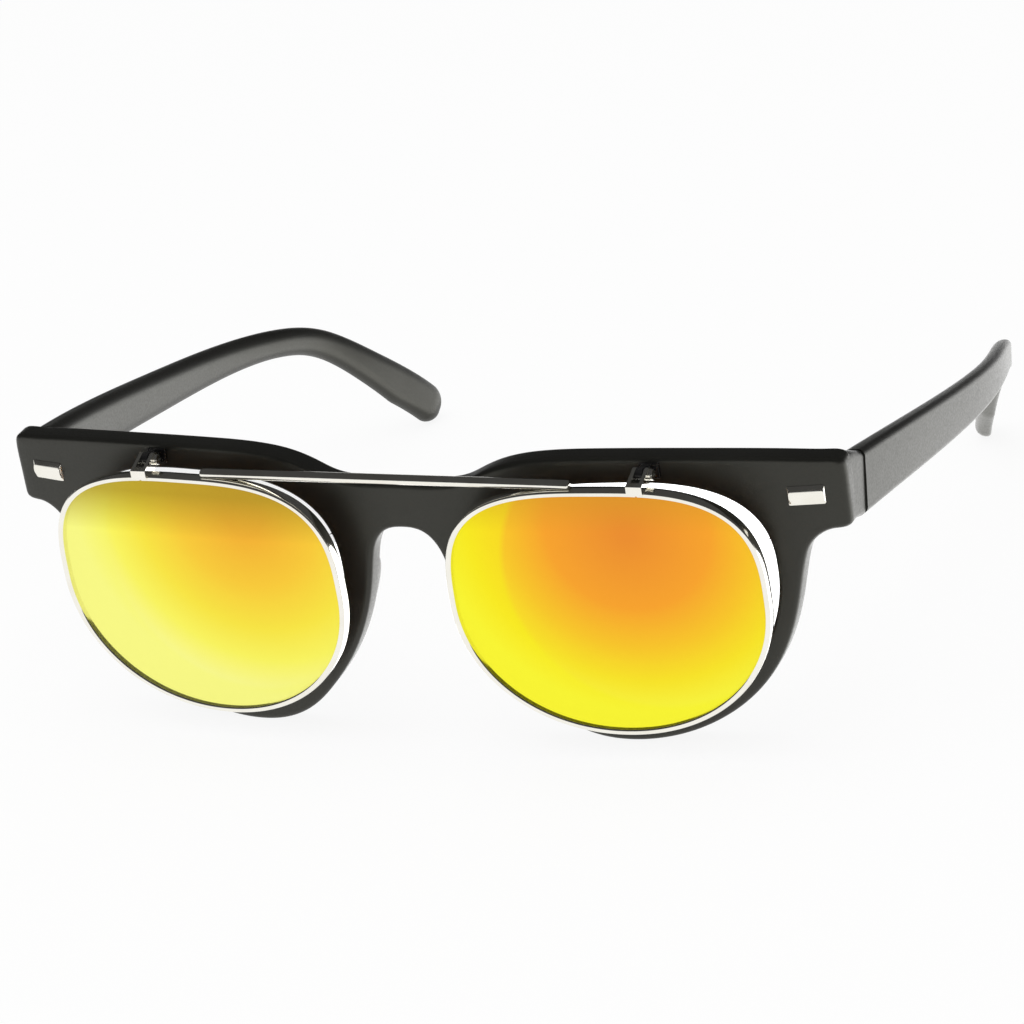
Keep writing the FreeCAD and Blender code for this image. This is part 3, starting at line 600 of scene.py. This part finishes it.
def bar_section(thick, tall, first, last, share):
    """Rounded rectangle at each station: a quarter circle in each corner, its round a share of the
    thickness that goes from a first to a last set of four. Gives places across and up from the middle."""
    thick, tall, share = [np.asarray(v, float).reshape(-1, 1, 1) for v in (thick, tall, share)]
    rounds = (first + (last - first) * share).transpose(0, 2, 1)
    corner = np.minimum(thick * rounds, tall * MOST_ROUND_SHARE)
    side = np.array([1, -1, -1, 1])[None, :, None]
    top = np.array([1, 1, -1, -1])[None, :, None]
    turn = np.linspace(0, math.pi / 2, CORNER_STEPS) + np.arange(4)[:, None] * math.pi / 2
    across = side * (thick / 2 - corner) + corner * np.cos(turn)[None]
    up = top * (tall / 2 - corner) + corner * np.sin(turn)[None]
    return across.reshape(len(across), -1), up.reshape(len(up), -1)


def from_joint(points):
    """Points drawn along the temple from the joint to the upright frame of the front."""
    return leaned(points, -TEMPLE_SLOPE) + joint


def end_return():
    """Return of the right end. The plate's outline round the end is carried straight back, the temple's
    section is carried forward from the joint, and a smooth step goes from the first to the second."""
    across, up = [places[0] for places in bar_section([TEMPLE_THICKNESS], [TEMPLE_HEIGHT], JOINT_ROUND_SHARES,
                                                      EAR_ROUND_SHARES, [0.0])]
    middle_x = outside_x - TEMPLE_THICKNESS / 2
    last = from_joint(np.stack([middle_x + across, np.full_like(up, -JOINT_GAP), up], axis=-1))
    tip = edge[:, 0].argmax()
    top = np.interp(middle_x, edge[:tip, 0], edge[:tip, 1])
    foot = np.interp(middle_x, edge[:tip:-1, 0], edge[:tip:-1, 1])
    middle = np.array([middle_x, (top + foot) / 2])
    half = np.array([TEMPLE_THICKNESS, top - foot]) / 2
    end = (edge[edge[:, 0] > middle_x - END_MARGIN][::-1] - middle) / half
    turn = np.arctan2(up / TEMPLE_HEIGHT, across / TEMPLE_THICKNESS)
    reach = np.interp(turn, np.arctan2(end[:, 1], end[:, 0]), np.hypot(*end.T)) * COVER
    inner = np.stack([across, up * (top - foot) / TEMPLE_HEIGHT], axis=1)
    outer = half * reach[:, None] * np.stack([np.cos(turn), np.sin(turn)], axis=1)
    x, z = (middle + np.where(across[:, None] < 0, inner, outer)).T
    share = RETURN_ROWS[:, None]
    step = share ** 2 * (3 - 2 * share)
    start = face_y(x, END_ROUND)
    y = start + (last[:, 1] - start) * share
    drawn = last[:, 2] + math.tan(TEMPLE_SLOPE) * (last[:, 1] - y)
    rings = np.stack([x + (last[:, 0] - x) * step, y, z + (drawn - z) * step], axis=-1)
    return grid_patch(capped(rings), wrap_columns=True)


return_right = end_return()
print("joint of the temples", joint.round(3))

# %% Nose pads and the whole front
PAD_HALF = np.array([1.8, 4.8, 8.5])
PAD_CENTRE = np.array([0.163 * half_width, 5.2, 0.430 * FRONT_HEIGHT])
PAD_FLARE = math.radians(12.0)
PAD_SLANT = math.radians(25.0)
PAD_RISE = np.linspace(-math.pi / 2, math.pi / 2, 33)
PAD_TURN = np.linspace(0, 2 * math.pi, 48, endpoint=False)


def nose_pad():
    """Right pad: a ball stretched to three half sizes, flared to the back and slanted to the bridge."""
    rise, turn = np.meshgrid(PAD_RISE, PAD_TURN, indexing="ij")
    ball = np.stack([np.cos(rise) * np.cos(turn), np.cos(rise) * np.sin(turn), np.sin(rise)], axis=-1)
    pad = ball * PAD_HALF
    flare = np.array(Matrix.Rotation(-PAD_FLARE, 3, "Z"))
    slant = np.array(Matrix.Rotation(-PAD_SLANT, 3, "Y"))
    return grid_patch(pad @ (slant @ flare).T + PAD_CENTRE, wrap_columns=True)


right_half = plate_right + [return_right, nose_pad()]
front_mesh = welded_mesh("front_moulding", right_half + on_side(right_half, -1))
add_piece("front_moulding", front_mesh, "frame", ["frame_front"], black)

# %% [markdown]
# ## Temples
# A temple hangs from its outer top edge, a line that runs back, bows out a little and then drops and
# turns in behind the ear. The section is carried along that line: it gets lower towards the bend, deeper
# again at the ear, and it twists a few degrees. Sweeping a Blender curve with a fixed bevel couldn't
# change the section, so the rings are worked out at stations along the line.

# %% Temples
TEMPLE_RUN = 126.7
TEMPLE_TWIST = math.radians(5.5)
EAR_DROP = 22.3
EAR_INSET = 16.3
TIP_ROUND = 4.2
TIP_SLIM_SHARE = 0.70
PATH_SHARES = np.array([
    (-0.02, 0.0, 0.0), (0.166, -0.012, -0.094), (0.356, 0.007, -0.131), (0.569, 0.029, -0.063),
    (0.692, 0.068, 0.104), (0.779, 0.173, 0.281), (0.859, 0.425, 0.562), (0.933, 0.699, 0.816),
    (1.0, 1.0, 1.0)])
SECTION_SHARES = np.array([
    (0.0, 1.0, 1.0, 0.0), (0.14, 0.879, 0.97, 0.5), (0.32, 0.754, 0.93, 0.63), (0.50, 0.616, 0.89, 0.66),
    (0.64, 0.511, 0.86, 0.63), (0.75, 0.505, 0.84, 0.65), (0.84, 0.585, 0.80, 0.78),
    (0.93, 0.735, 0.74, 1.0)])
BODY_STATIONS = 160
TIP_STATIONS = 16
LINE_POINTS = 4001
LINE_NUDGE = 0.01
LEAST_HEIGHT = 1e-4
marks = np.stack([outside_x - PATH_SHARES[:, 2] * EAR_INSET, PATH_SHARES[:, 0] * TEMPLE_RUN,
                  TEMPLE_HEIGHT / 2 - PATH_SHARES[:, 1] * EAR_DROP], axis=1)
mark_knots = chord_knots(marks)
fine_knots = np.linspace(0, mark_knots[-1], LINE_POINTS)
fine_line = smooth_line(mark_knots, marks, fine_knots)
fine_length = chord_knots(fine_line)


def temple_line(places):
    """Points and directions of the outer top edge at lengths along it, by a spline on its chords."""
    spot = np.interp(places, fine_length, fine_knots)
    tangent = smooth_line(mark_knots, marks, spot + LINE_NUDGE)
    tangent -= smooth_line(mark_knots, marks, spot - LINE_NUDGE)
    tangent /= np.linalg.norm(tangent, axis=1, keepdims=True)
    return smooth_line(mark_knots, marks, spot), tangent


def temple_rings():
    """Rings of the right temple: section tables along the line, then a quarter turn that closes the tip."""
    start, length = np.interp(0.0, fine_line[:, 1], fine_length), fine_length[-1]
    body_end = length - TIP_ROUND
    tip = np.sin(np.linspace(0, math.pi / 2, TIP_STATIONS))
    places = np.r_[np.linspace(start, body_end, BODY_STATIONS, endpoint=False), body_end + tip * TIP_ROUND]
    shrink = np.r_[np.ones(BODY_STATIONS), np.sqrt(1 - tip ** 2)]
    slim = 1 - (1 - shrink) * TIP_SLIM_SHARE
    table = smooth_line(SECTION_SHARES[:, 0], SECTION_SHARES[:, 1:],
                        np.minimum(places / body_end, SECTION_SHARES[-1, 0]))
    line, tangent = temple_line(np.minimum(places, length - 2 * LINE_NUDGE))
    flat = np.array([1.0, 0.0, 0.0]) - tangent * tangent[:, :1]
    flat /= np.linalg.norm(flat, axis=1, keepdims=True)
    rise = np.cross(flat, tangent)
    twist = (TEMPLE_TWIST * table[:, 2])[:, None]
    out = flat * np.cos(twist) + rise * np.sin(twist)
    up = rise * np.cos(twist) - flat * np.sin(twist)
    tall = TEMPLE_HEIGHT * table[:, 0]
    thick = TEMPLE_THICKNESS * table[:, 1] * slim
    across, high = bar_section(thick, np.maximum(tall * shrink, LEAST_HEIGHT), JOINT_ROUND_SHARES,
                               EAR_ROUND_SHARES, np.minimum(places / length, 1.0))
    middle = line - out * (thick / 2)[:, None] - up * (tall / 2)[:, None]
    rings = middle[:, None] + out[:, None] * across[..., None] + up[:, None] * high[..., None]
    rings[0, :, 1] = 0.0
    return rings


rings = from_joint(temple_rings())
temple_right = grid_patch(capped(rings), wrap_columns=True)
for side, sign in SIDES.items():
    mesh = welded_mesh("temple_bar_" + side, on_side([temple_right], sign))
    add_piece("temple_bar_" + side, mesh, f"temple_{side}_arm", ["temple_" + side], black)

# %% [markdown]
# ## Clear lenses
# Each fixed lens is a thin curved sheet whose edge sits in a groove of the front. A polar grid does it:
# rings grow from the middle to the lens outline on the front, go over the edge, and shrink again on the
# back. A solidified flat face would do too, but this one follows the curve of the front.

# %% Clear lenses
CLEAR_NEAR = 1.0
CLEAR_FAR = 3.0
CLEAR_GROW = 0.58
LENS_RINGS = np.linspace(0, 1, 15)
LENS_TURN = np.linspace(0, 2 * math.pi, 144, endpoint=False)


def clear_lens():
    """Rings of the lens outline scaled from nothing to full and back, at two depths of the front."""
    rise = (OPENING_RISE[0] + CLEAR_GROW, OPENING_RISE[1] + CLEAR_GROW)
    outline = egg_line((0, 0), OPENING_HALF + CLEAR_GROW, rise, OPENING_POWERS, LENS_TURN)
    scale = np.r_[LENS_RINGS, LENS_RINGS[::-1]][:, None, None]
    depth = np.repeat([CLEAR_NEAR, CLEAR_FAR], len(LENS_RINGS))[:, None]
    flat = np.array(OPENING_CENTRE) + scale * outline[None]
    x = flat[..., 0]
    return grid_patch(np.stack([x, face_y(x, depth), flat[..., 1]], axis=-1), wrap_columns=True)


clear_right = clear_lens()
for side, sign in SIDES.items():
    mesh = welded_mesh("clear_lens_sheet_" + side, on_side([clear_right], sign))
    add_piece("clear_lens_sheet_" + side, mesh, "frame", ["clear_lens_" + side], clear)

# %% [markdown]
# ## Flip lenses and their wire rims
# The flip carrier lies in two planes, one for each lens, turned a few degrees so that the lenses wrap
# with the front. A mirror lens is a polar grid with a domed front. The rim is a small rounded section
# carried round the lens outline and left open by a hair at the top, where the real rim is split to take
# the lens.

# %% Mirror lenses
FLIP_LENS_X = 34.92
FLIP_LENS_TOP = 46.6
FLIP_LENS_HEIGHT = 40.7
FLIP_UPPER_SHARE = 0.457
FLIP_POWERS = (3.1, 2.05)
FLIP_STANDOFF = 3.8
FLIP_WRAP = math.radians(4.0)
MIRROR_GROW = 0.33
MIRROR_BACK = 0.73
MIRROR_EDGE = 0.9
MIRROR_DOME_RADIUS = 420.0
MIRROR_LEAST = 0.3
MIRROR_CORNER = 28.9
FRONT_FACING = -0.5
flip_rise = np.array([FLIP_LENS_HEIGHT * FLIP_UPPER_SHARE, FLIP_LENS_HEIGHT * (1 - FLIP_UPPER_SHARE)])
flip_centre = np.array([FLIP_LENS_X, -FLIP_STANDOFF, FLIP_LENS_TOP - flip_rise[0]])


def from_flip(points):
    """Points drawn about the middle of the right flip lens, turned by the wrap and set in their place."""
    turn = np.array(Matrix.Rotation(FLIP_WRAP, 3, "Z"))
    return points @ turn.T + flip_centre


def mirror_lens():
    """Domed front and flat back: the front's depth is that of a large ball behind it. Two patches."""
    outline = egg_line((0, 0), LENS_HALF + MIRROR_GROW, flip_rise + MIRROR_GROW, FLIP_POWERS, LENS_TURN)
    flat = LENS_RINGS[:, None, None] * outline[None]
    off = np.square(flat).sum(axis=-1)
    dome = MIRROR_BACK - MIRROR_EDGE + (off - MIRROR_CORNER ** 2) / (2 * MIRROR_DOME_RADIUS)
    front = np.stack([flat[..., 0], np.minimum(dome, MIRROR_BACK - MIRROR_LEAST), flat[..., 1]], axis=-1)
    back = np.stack([flat[..., 0], np.full_like(dome, MIRROR_BACK), flat[..., 1]], axis=-1)
    shell = np.concatenate([front[-1:], back[::-1]])
    return [grid_patch(from_flip(part), wrap_columns=True) for part in (front, shell)]


mirror_right = mirror_lens()
for side, sign in SIDES.items():
    mesh = welded_mesh("mirror_lens_sheet_" + side, on_side(mirror_right, sign))
    centre = to_scene(flip_centre * (sign, 1, 1))
    add_piece("mirror_lens_sheet_" + side, mesh, "flip_carrier", ["mirror_lens_" + side],
              gold_coat_and_painted_light(side, centre))
    mesh.materials.append(amber)
    facing = np.empty(len(mesh.polygons) * 3)
    mesh.polygons.foreach_get("normal", facing)
    behind = (facing.reshape(-1, 3)[:, 1] > FRONT_FACING).astype(np.int32)
    mesh.polygons.foreach_set("material_index", behind)

# %% Wire rims
RIM_WIDTH = 0.95
RIM_DEPTH = 2.2
RIM_ROUND = 0.32
RIM_SPLIT = 0.25
RIM_STATIONS = 360
RIM_POINTS = 7200
WIRE_STEPS = 5


def small_section(wide, deep, radius):
    """Rounded rectangle of a wire: four quarter circles, as places along the width and the depth."""
    turn = (np.linspace(0, math.pi / 2, WIRE_STEPS) + np.arange(4)[:, None] * math.pi / 2).ravel()
    side = np.repeat([1, -1, -1, 1], WIRE_STEPS)
    top = np.repeat([1, 1, -1, -1], WIRE_STEPS)
    across = side * (wide / 2 - radius) + radius * np.cos(turn)
    return across, top * (deep / 2 - radius) + radius * np.sin(turn)


def wire_rim():
    """Rounded section carried round the lens outline, along its normals, from one side of the split to
    the other."""
    fine = np.linspace(0, 2 * math.pi, RIM_POINTS + 1)
    middle = egg_line((0, 0), LENS_HALF + RIM_WIDTH / 2, flip_rise + RIM_WIDTH / 2, FLIP_POWERS, fine)
    hinge = (FLIP_HINGE_X - FLIP_LENS_X) / math.cos(FLIP_WRAP)
    upper = np.argmin(np.abs(middle[:RIM_POINTS // 2, 0] - hinge))
    loop = np.roll(middle[:-1], -upper, axis=0)
    length = chord_knots(np.vstack([loop, loop[:1]]))
    places = np.linspace(RIM_SPLIT / 2, length[-1] - RIM_SPLIT / 2, RIM_STATIONS)
    path = np.stack([np.interp(places, length, np.r_[loop[:, k], loop[0, k]]) for k in (0, 1)], axis=1)
    run = np.gradient(path, axis=0)
    run /= np.linalg.norm(run, axis=1, keepdims=True)
    out = np.stack([run[:, 1], -run[:, 0]], axis=1)
    wide, deep = small_section(RIM_WIDTH, RIM_DEPTH, RIM_ROUND)
    flat = path[:, None] + out[:, None] * wide[None, :, None]
    rings = np.stack([flat[..., 0], np.broadcast_to(deep, flat.shape[:2]), flat[..., 1]], axis=-1)
    return grid_patch(from_flip(capped(rings)), wrap_columns=True)


rim_right = wire_rim()
for side, sign in SIDES.items():
    mesh = welded_mesh("wire_rim_" + side, on_side([rim_right], sign))
    add_piece("wire_rim_" + side, mesh, "flip_carrier", ["flip_rim_" + side], plate)

# %% [markdown]
# ## The bar between the rims
# One straight bar is soldered across the tops of both rims. Its section is a rounded rectangle and its
# ends are domed, as wire is after tumbling, so the section is carried along x and drawn in at each end
# along a quarter turn.

# %% Brow bar
BAR_HALF = 31.42
BAR_HEIGHT = 1.5
BAR_DEPTH = 1.8
BAR_ROUND = 0.72
BAR_SADDLE = 0.25
BAR_END_ROUND = 0.45
BAR_STATIONS = 41
BAR_TURN = np.linspace(0, math.pi / 2, 7)


def brow_bar():
    """Rounded section along x; near each end it loses up to the end round by a quarter turn."""
    deep, tall = small_section(BAR_DEPTH, BAR_HEIGHT, BAR_ROUND)
    dome = BAR_END_ROUND * np.sin(BAR_TURN)
    inset = BAR_END_ROUND * (1 - np.cos(BAR_TURN))
    body = np.linspace(-BAR_HALF + BAR_END_ROUND, BAR_HALF - BAR_END_ROUND, BAR_STATIONS)
    x = np.r_[-BAR_HALF + BAR_END_ROUND - dome[:0:-1], body, BAR_HALF - BAR_END_ROUND + dome[1:]]
    lose = np.r_[inset[:0:-1], np.zeros_like(body), inset[1:]][:, None]
    middle = FLIP_LENS_TOP + RIM_WIDTH - BAR_SADDLE + BAR_HEIGHT / 2
    y = -FLIP_STANDOFF + deep * (1 - 2 * lose / BAR_DEPTH)
    z = middle + tall * (1 - 2 * lose / BAR_HEIGHT)
    rings = np.stack([np.broadcast_to(x[:, None], y.shape), y, z], axis=-1)
    return grid_patch(capped(rings), wrap_columns=True)


add_piece("brow_bar_wire", welded_mesh("brow_bar_wire", [brow_bar()]), "flip_carrier",
          ["brow_bar"], plate)

# %% [markdown]
# ## End plates
# A small bright plate is riveted on each end piece. It is a pillow: a short upright rim and a face that
# swells to a ridge along its middle, so its upper part mirrors the dim ceiling and the rest the floor.
# Rings of a rounded rectangle are drawn in and raised along that swell.

# %% End plates
PLAQUE_HALF = np.array([2.9, 1.6])
PLAQUE_CORNER = 0.35
PLAQUE_PROUD = 0.55
PLAQUE_RECESS = 0.3
PLAQUE_RIM = 0.06
PLAQUE_END_SLOPE = 0.2
PLAQUE_END_PACE = 3
PLAQUE_ROWS = np.linspace(0, 1, 22)
PLAQUE_CENTRE = (0.912 * half_width, 0.846 * FRONT_HEIGHT)


def end_plate():
    """Rounded rectangle rings that shrink to a line: the lift is a parabola over the height, and the ends
    slope in over the first third of the way."""
    rise = PLAQUE_RIM + (PLAQUE_PROUD - PLAQUE_RIM) * (1 - (1 - PLAQUE_ROWS) ** 2)
    lift = np.r_[-PLAQUE_RECESS, rise][:, None]
    tall_share = np.r_[1.0, 1 - PLAQUE_ROWS][:, None]
    drawn_in = np.r_[0.0, np.minimum(PLAQUE_END_PACE * PLAQUE_ROWS, 1)][:, None]
    wide_share = 1 - drawn_in * PLAQUE_END_SLOPE / PLAQUE_HALF[0]
    wide, tall = small_section(2 * PLAQUE_HALF[0], 2 * PLAQUE_HALF[1], PLAQUE_CORNER)
    x = wide_share * wide
    rings = np.stack([x, np.broadcast_to(-lift, x.shape), tall_share * tall], axis=-1)
    foot = rings[:1] * (0, 1, 0)
    turn_in = np.array(Matrix.Rotation(math.asin(PLAQUE_CENTRE[0] / FRONT_CURVE_RADIUS), 3, "Z"))
    spot = np.array([PLAQUE_CENTRE[0], face_y(PLAQUE_CENTRE[0]), PLAQUE_CENTRE[1]])
    return grid_patch(np.concatenate([foot, rings]) @ turn_in.T + spot, wrap_columns=True)


plaque_right = end_plate()
for side, sign in SIDES.items():
    mesh = welded_mesh("end_plate_" + side, on_side([plaque_right], sign))
    add_piece("end_plate_" + side, mesh, "frame", ["end_plaque_" + side], plate)

# %% [markdown]
# ## Small hinge parts
# Forks, brackets, screws and hinge leaves are machined or stamped, and their CAD shapes are right. Real
# ones have no razor edges, so each gets a copy whose loose triangles are welded and whose edges carry a
# tiny bevel. That catches a line of light along every corner.

# %% Small hinge parts
FINE_EDGE = 0.09 * MM
FLAT_ANGLE = math.radians(1.0)


def softened_copy(node, body, finish):
    """Copy of a CAD node with its triangles welded into whole faces and a small bevel on its edges."""
    mesh = frame["nodes"][node].data.copy()
    mesh.name = node + "_soft"
    mesh.materials.clear()
    shell = bmesh.new()
    shell.from_mesh(mesh)
    bmesh.ops.remove_doubles(shell, verts=shell.verts, dist=WELD)
    bmesh.ops.dissolve_limit(shell, angle_limit=FLAT_ANGLE, verts=shell.verts, edges=shell.edges)
    shell.to_mesh(mesh)
    shell.free()
    mesh.shade_smooth()
    mesh.set_sharp_from_angle(angle=SHARP_ANGLE)
    piece = add_piece(node + "_soft", mesh, body, [node], finish)
    bevel = piece.modifiers.new("fine edge", "BEVEL")
    bevel.width = FINE_EDGE
    bevel.segments = 2
    bevel.limit_method = "ANGLE"
    bevel.angle_limit = SHARP_ANGLE
    bevel.harden_normals = True
    return piece


for side in SIDES:
    arm = f"temple_{side}_arm"
    softened_copy("flip_fork_" + side, "flip_carrier", plate)
    softened_copy("flip_screw_" + side, "flip_carrier", plate)
    softened_copy("flip_washer_" + side, "flip_carrier", steel)
    softened_copy("flip_bracket_" + side, "frame", lacquer)
    softened_copy("front_hinge_leaf_" + side, "frame", steel)
    softened_copy("temple_hinge_screw_" + side, "frame", steel)
    softened_copy("temple_hinge_leaf_" + side, arm, steel)

# %% [markdown]
# ## Floor, light and camera
# The glasses stand on a white sweep under one large soft light. A flat panel lies on the sweep behind the
# right lens and glows upwards, so the outside of the right temple mirrors something brighter than the
# sweep. Seen in the metal, the sweep is white and the ceiling of the studio is dim, which is what gives
# plated wire its dark upper line. The floor is mostly its own white and a little shaded, so that it stays
# pale and still takes the shadow.

# %% Floor
FLOOR_HALF = 4.0
FLOOR_OWN_WHITE = 0.9


def either_ray(nodes, links, names):
    """One where the ray is any of the named kinds, and nought elsewhere."""
    path = nodes.new("ShaderNodeLightPath")
    total = path.outputs[names[0]]
    for name in names[1:]:
        add = nodes.new("ShaderNodeMath")
        add.operation = "MAXIMUM"
        links.new(total, add.inputs[0])
        links.new(path.outputs[name], add.inputs[1])
        total = add.outputs[0]
    return total


def white_floor():
    """Matte white mixed with a glow of its own, where the camera, a mirror or a lens sees it."""
    finish, nodes, links, shader, place = start_finish("white_floor", roughness=0.9)
    cloud = speckle(nodes, links, place, size=0.4)
    mottled(nodes, links, shader, cloud, (0.93, 0.93, 0.93), (0.95, 0.95, 0.95))
    own = nodes.new("ShaderNodeEmission")
    blend = nodes.new("ShaderNodeMixShader")
    seen = either_ray(nodes, links, ["Is Camera Ray", "Is Glossy Ray", "Is Transmission Ray"])
    links.new(between(nodes, links, seen, 0.0, FLOOR_OWN_WHITE, 0.0, 1.0), blend.inputs["Fac"])
    links.new(shader.outputs["BSDF"], blend.inputs[1])
    links.new(own.outputs["Emission"], blend.inputs[2])
    links.new(blend.outputs["Shader"], nodes["Material Output"].inputs["Surface"])
    return finish


corner = np.array([[-1, -1, 0], [1, -1, 0], [1, 1, 0], [-1, 1, 0]]) * FLOOR_HALF
floor_mesh = bpy.data.meshes.new("floor")
floor_mesh.from_pydata(corner.tolist(), [], [(0, 1, 2, 3)])
floor_mesh.materials.append(white_floor())
floor = bpy.data.objects.new("floor", floor_mesh)
bpy.context.scene.collection.objects.link(floor)
print("floor", 2 * FLOOR_HALF, "m square")

# %% World and lamps
FILL_LOW = 0.9
FILL_HIGH = 0.5
CEILING = 0.05
FILL_TOP = 0.5
HORIZON_TOP = 0.06


def studio_world():
    """White where the camera looks past the floor. In reflections it is white down to the horizon and dim
    overhead, and as light it falls from the walls to the ceiling."""
    world = bpy.data.worlds.new("studio")
    world.use_nodes = True
    nodes, links = world.node_tree.nodes, world.node_tree.links
    height = nodes.new("ShaderNodeSeparateXYZ")
    links.new(nodes.new("ShaderNodeTexCoord").outputs["Generated"], height.inputs[0])
    level = between(nodes, links, height.outputs["Z"], FILL_LOW, FILL_HIGH, 0.0, FILL_TOP)
    mirrored = between(nodes, links, height.outputs["Z"], 1.0, CEILING, 0.0, HORIZON_TOP)
    for kinds, value in ((["Is Glossy Ray"], mirrored), (["Is Camera Ray", "Is Transmission Ray"], None)):
        blend = nodes.new("ShaderNodeMix")
        links.new(either_ray(nodes, links, kinds), blend.inputs["Factor"])
        links.new(level, blend.inputs["A"])
        blend.inputs["B"].default_value = 1.0
        if value is not None:
            links.new(value, blend.inputs["B"])
        level = blend.outputs["Result"]
    links.new(level, nodes["Background"].inputs["Strength"])
    nodes["Background"].inputs["Color"].default_value = (1, 1, 1, 1)
    return world


def soft_lamp(name, place, aim, size, power, mirrored):
    """Area lamp of a width and height at a place, turned to an aim, that the metal mirrors or not."""
    lamp = bpy.data.lights.new(name, "AREA")
    lamp.shape = "RECTANGLE"
    lamp.size, lamp.size_y = size
    lamp.energy = power
    holder = bpy.data.objects.new(name, lamp)
    holder.location = place
    holder.rotation_euler = (Vector(aim) - Vector(place)).to_track_quat("-Z", "Y").to_euler()
    holder.visible_camera = False
    holder.visible_glossy = mirrored
    bpy.context.scene.collection.objects.link(holder)
    return holder


bpy.context.scene.world = studio_world()
soft_lamp("overhead", (-0.1, -0.25, 1.25), (0, 0, 0.02), (1.3, 1.3), 9.0, False)
soft_lamp("table_glow", (0.23, 0.265, 0.0002), (0.23, 0.265, 1.0), (0.56, 0.63), 1.7, True)
bpy.context.scene.view_settings.view_transform = "Standard"

# %% [markdown]
# ## Camera
# The camera stands to the right and above, about 67 cm away, with a long lens, and it is tilted a few
# degrees about its own axis. Its three directions are worked out from those angles and given to Blender
# as a matrix, because a tracking constraint can't hold the tilt.

# %% Camera
CAMERA_AIM = np.array([0.0, -0.02931, 0.02462])
CAMERA_AZIMUTH = math.radians(24.80)
CAMERA_ELEVATION = math.radians(22.28)
CAMERA_TILT = math.radians(-7.89)
CAMERA_DISTANCE = 0.67079
camera = bpy.data.cameras.new("camera")
camera.lens = 142.63
camera.sensor_width = 36.0
camera.shift_x = 0.0171
camera.shift_y = 0.0009
camera.clip_start = 0.05
camera.clip_end = 20.0
back = np.array([math.sin(CAMERA_AZIMUTH) * math.cos(CAMERA_ELEVATION),
                 -math.cos(CAMERA_AZIMUTH) * math.cos(CAMERA_ELEVATION), math.sin(CAMERA_ELEVATION)])
level = np.array([math.cos(CAMERA_AZIMUTH), math.sin(CAMERA_AZIMUTH), 0.0])
upright = np.cross(back, level)
right = level * math.cos(CAMERA_TILT) + upright * math.sin(CAMERA_TILT)
up = upright * math.cos(CAMERA_TILT) - level * math.sin(CAMERA_TILT)
pose = np.eye(4)
pose[:3, :] = np.stack([right, up, back, CAMERA_AIM + back * CAMERA_DISTANCE], axis=1)
holder = bpy.data.objects.new("camera", camera)
holder.matrix_world = Matrix(pose.tolist())
bpy.context.scene.collection.objects.link(holder)
bpy.context.scene.camera = holder
print("camera at", pose[:3, 3].round(4))
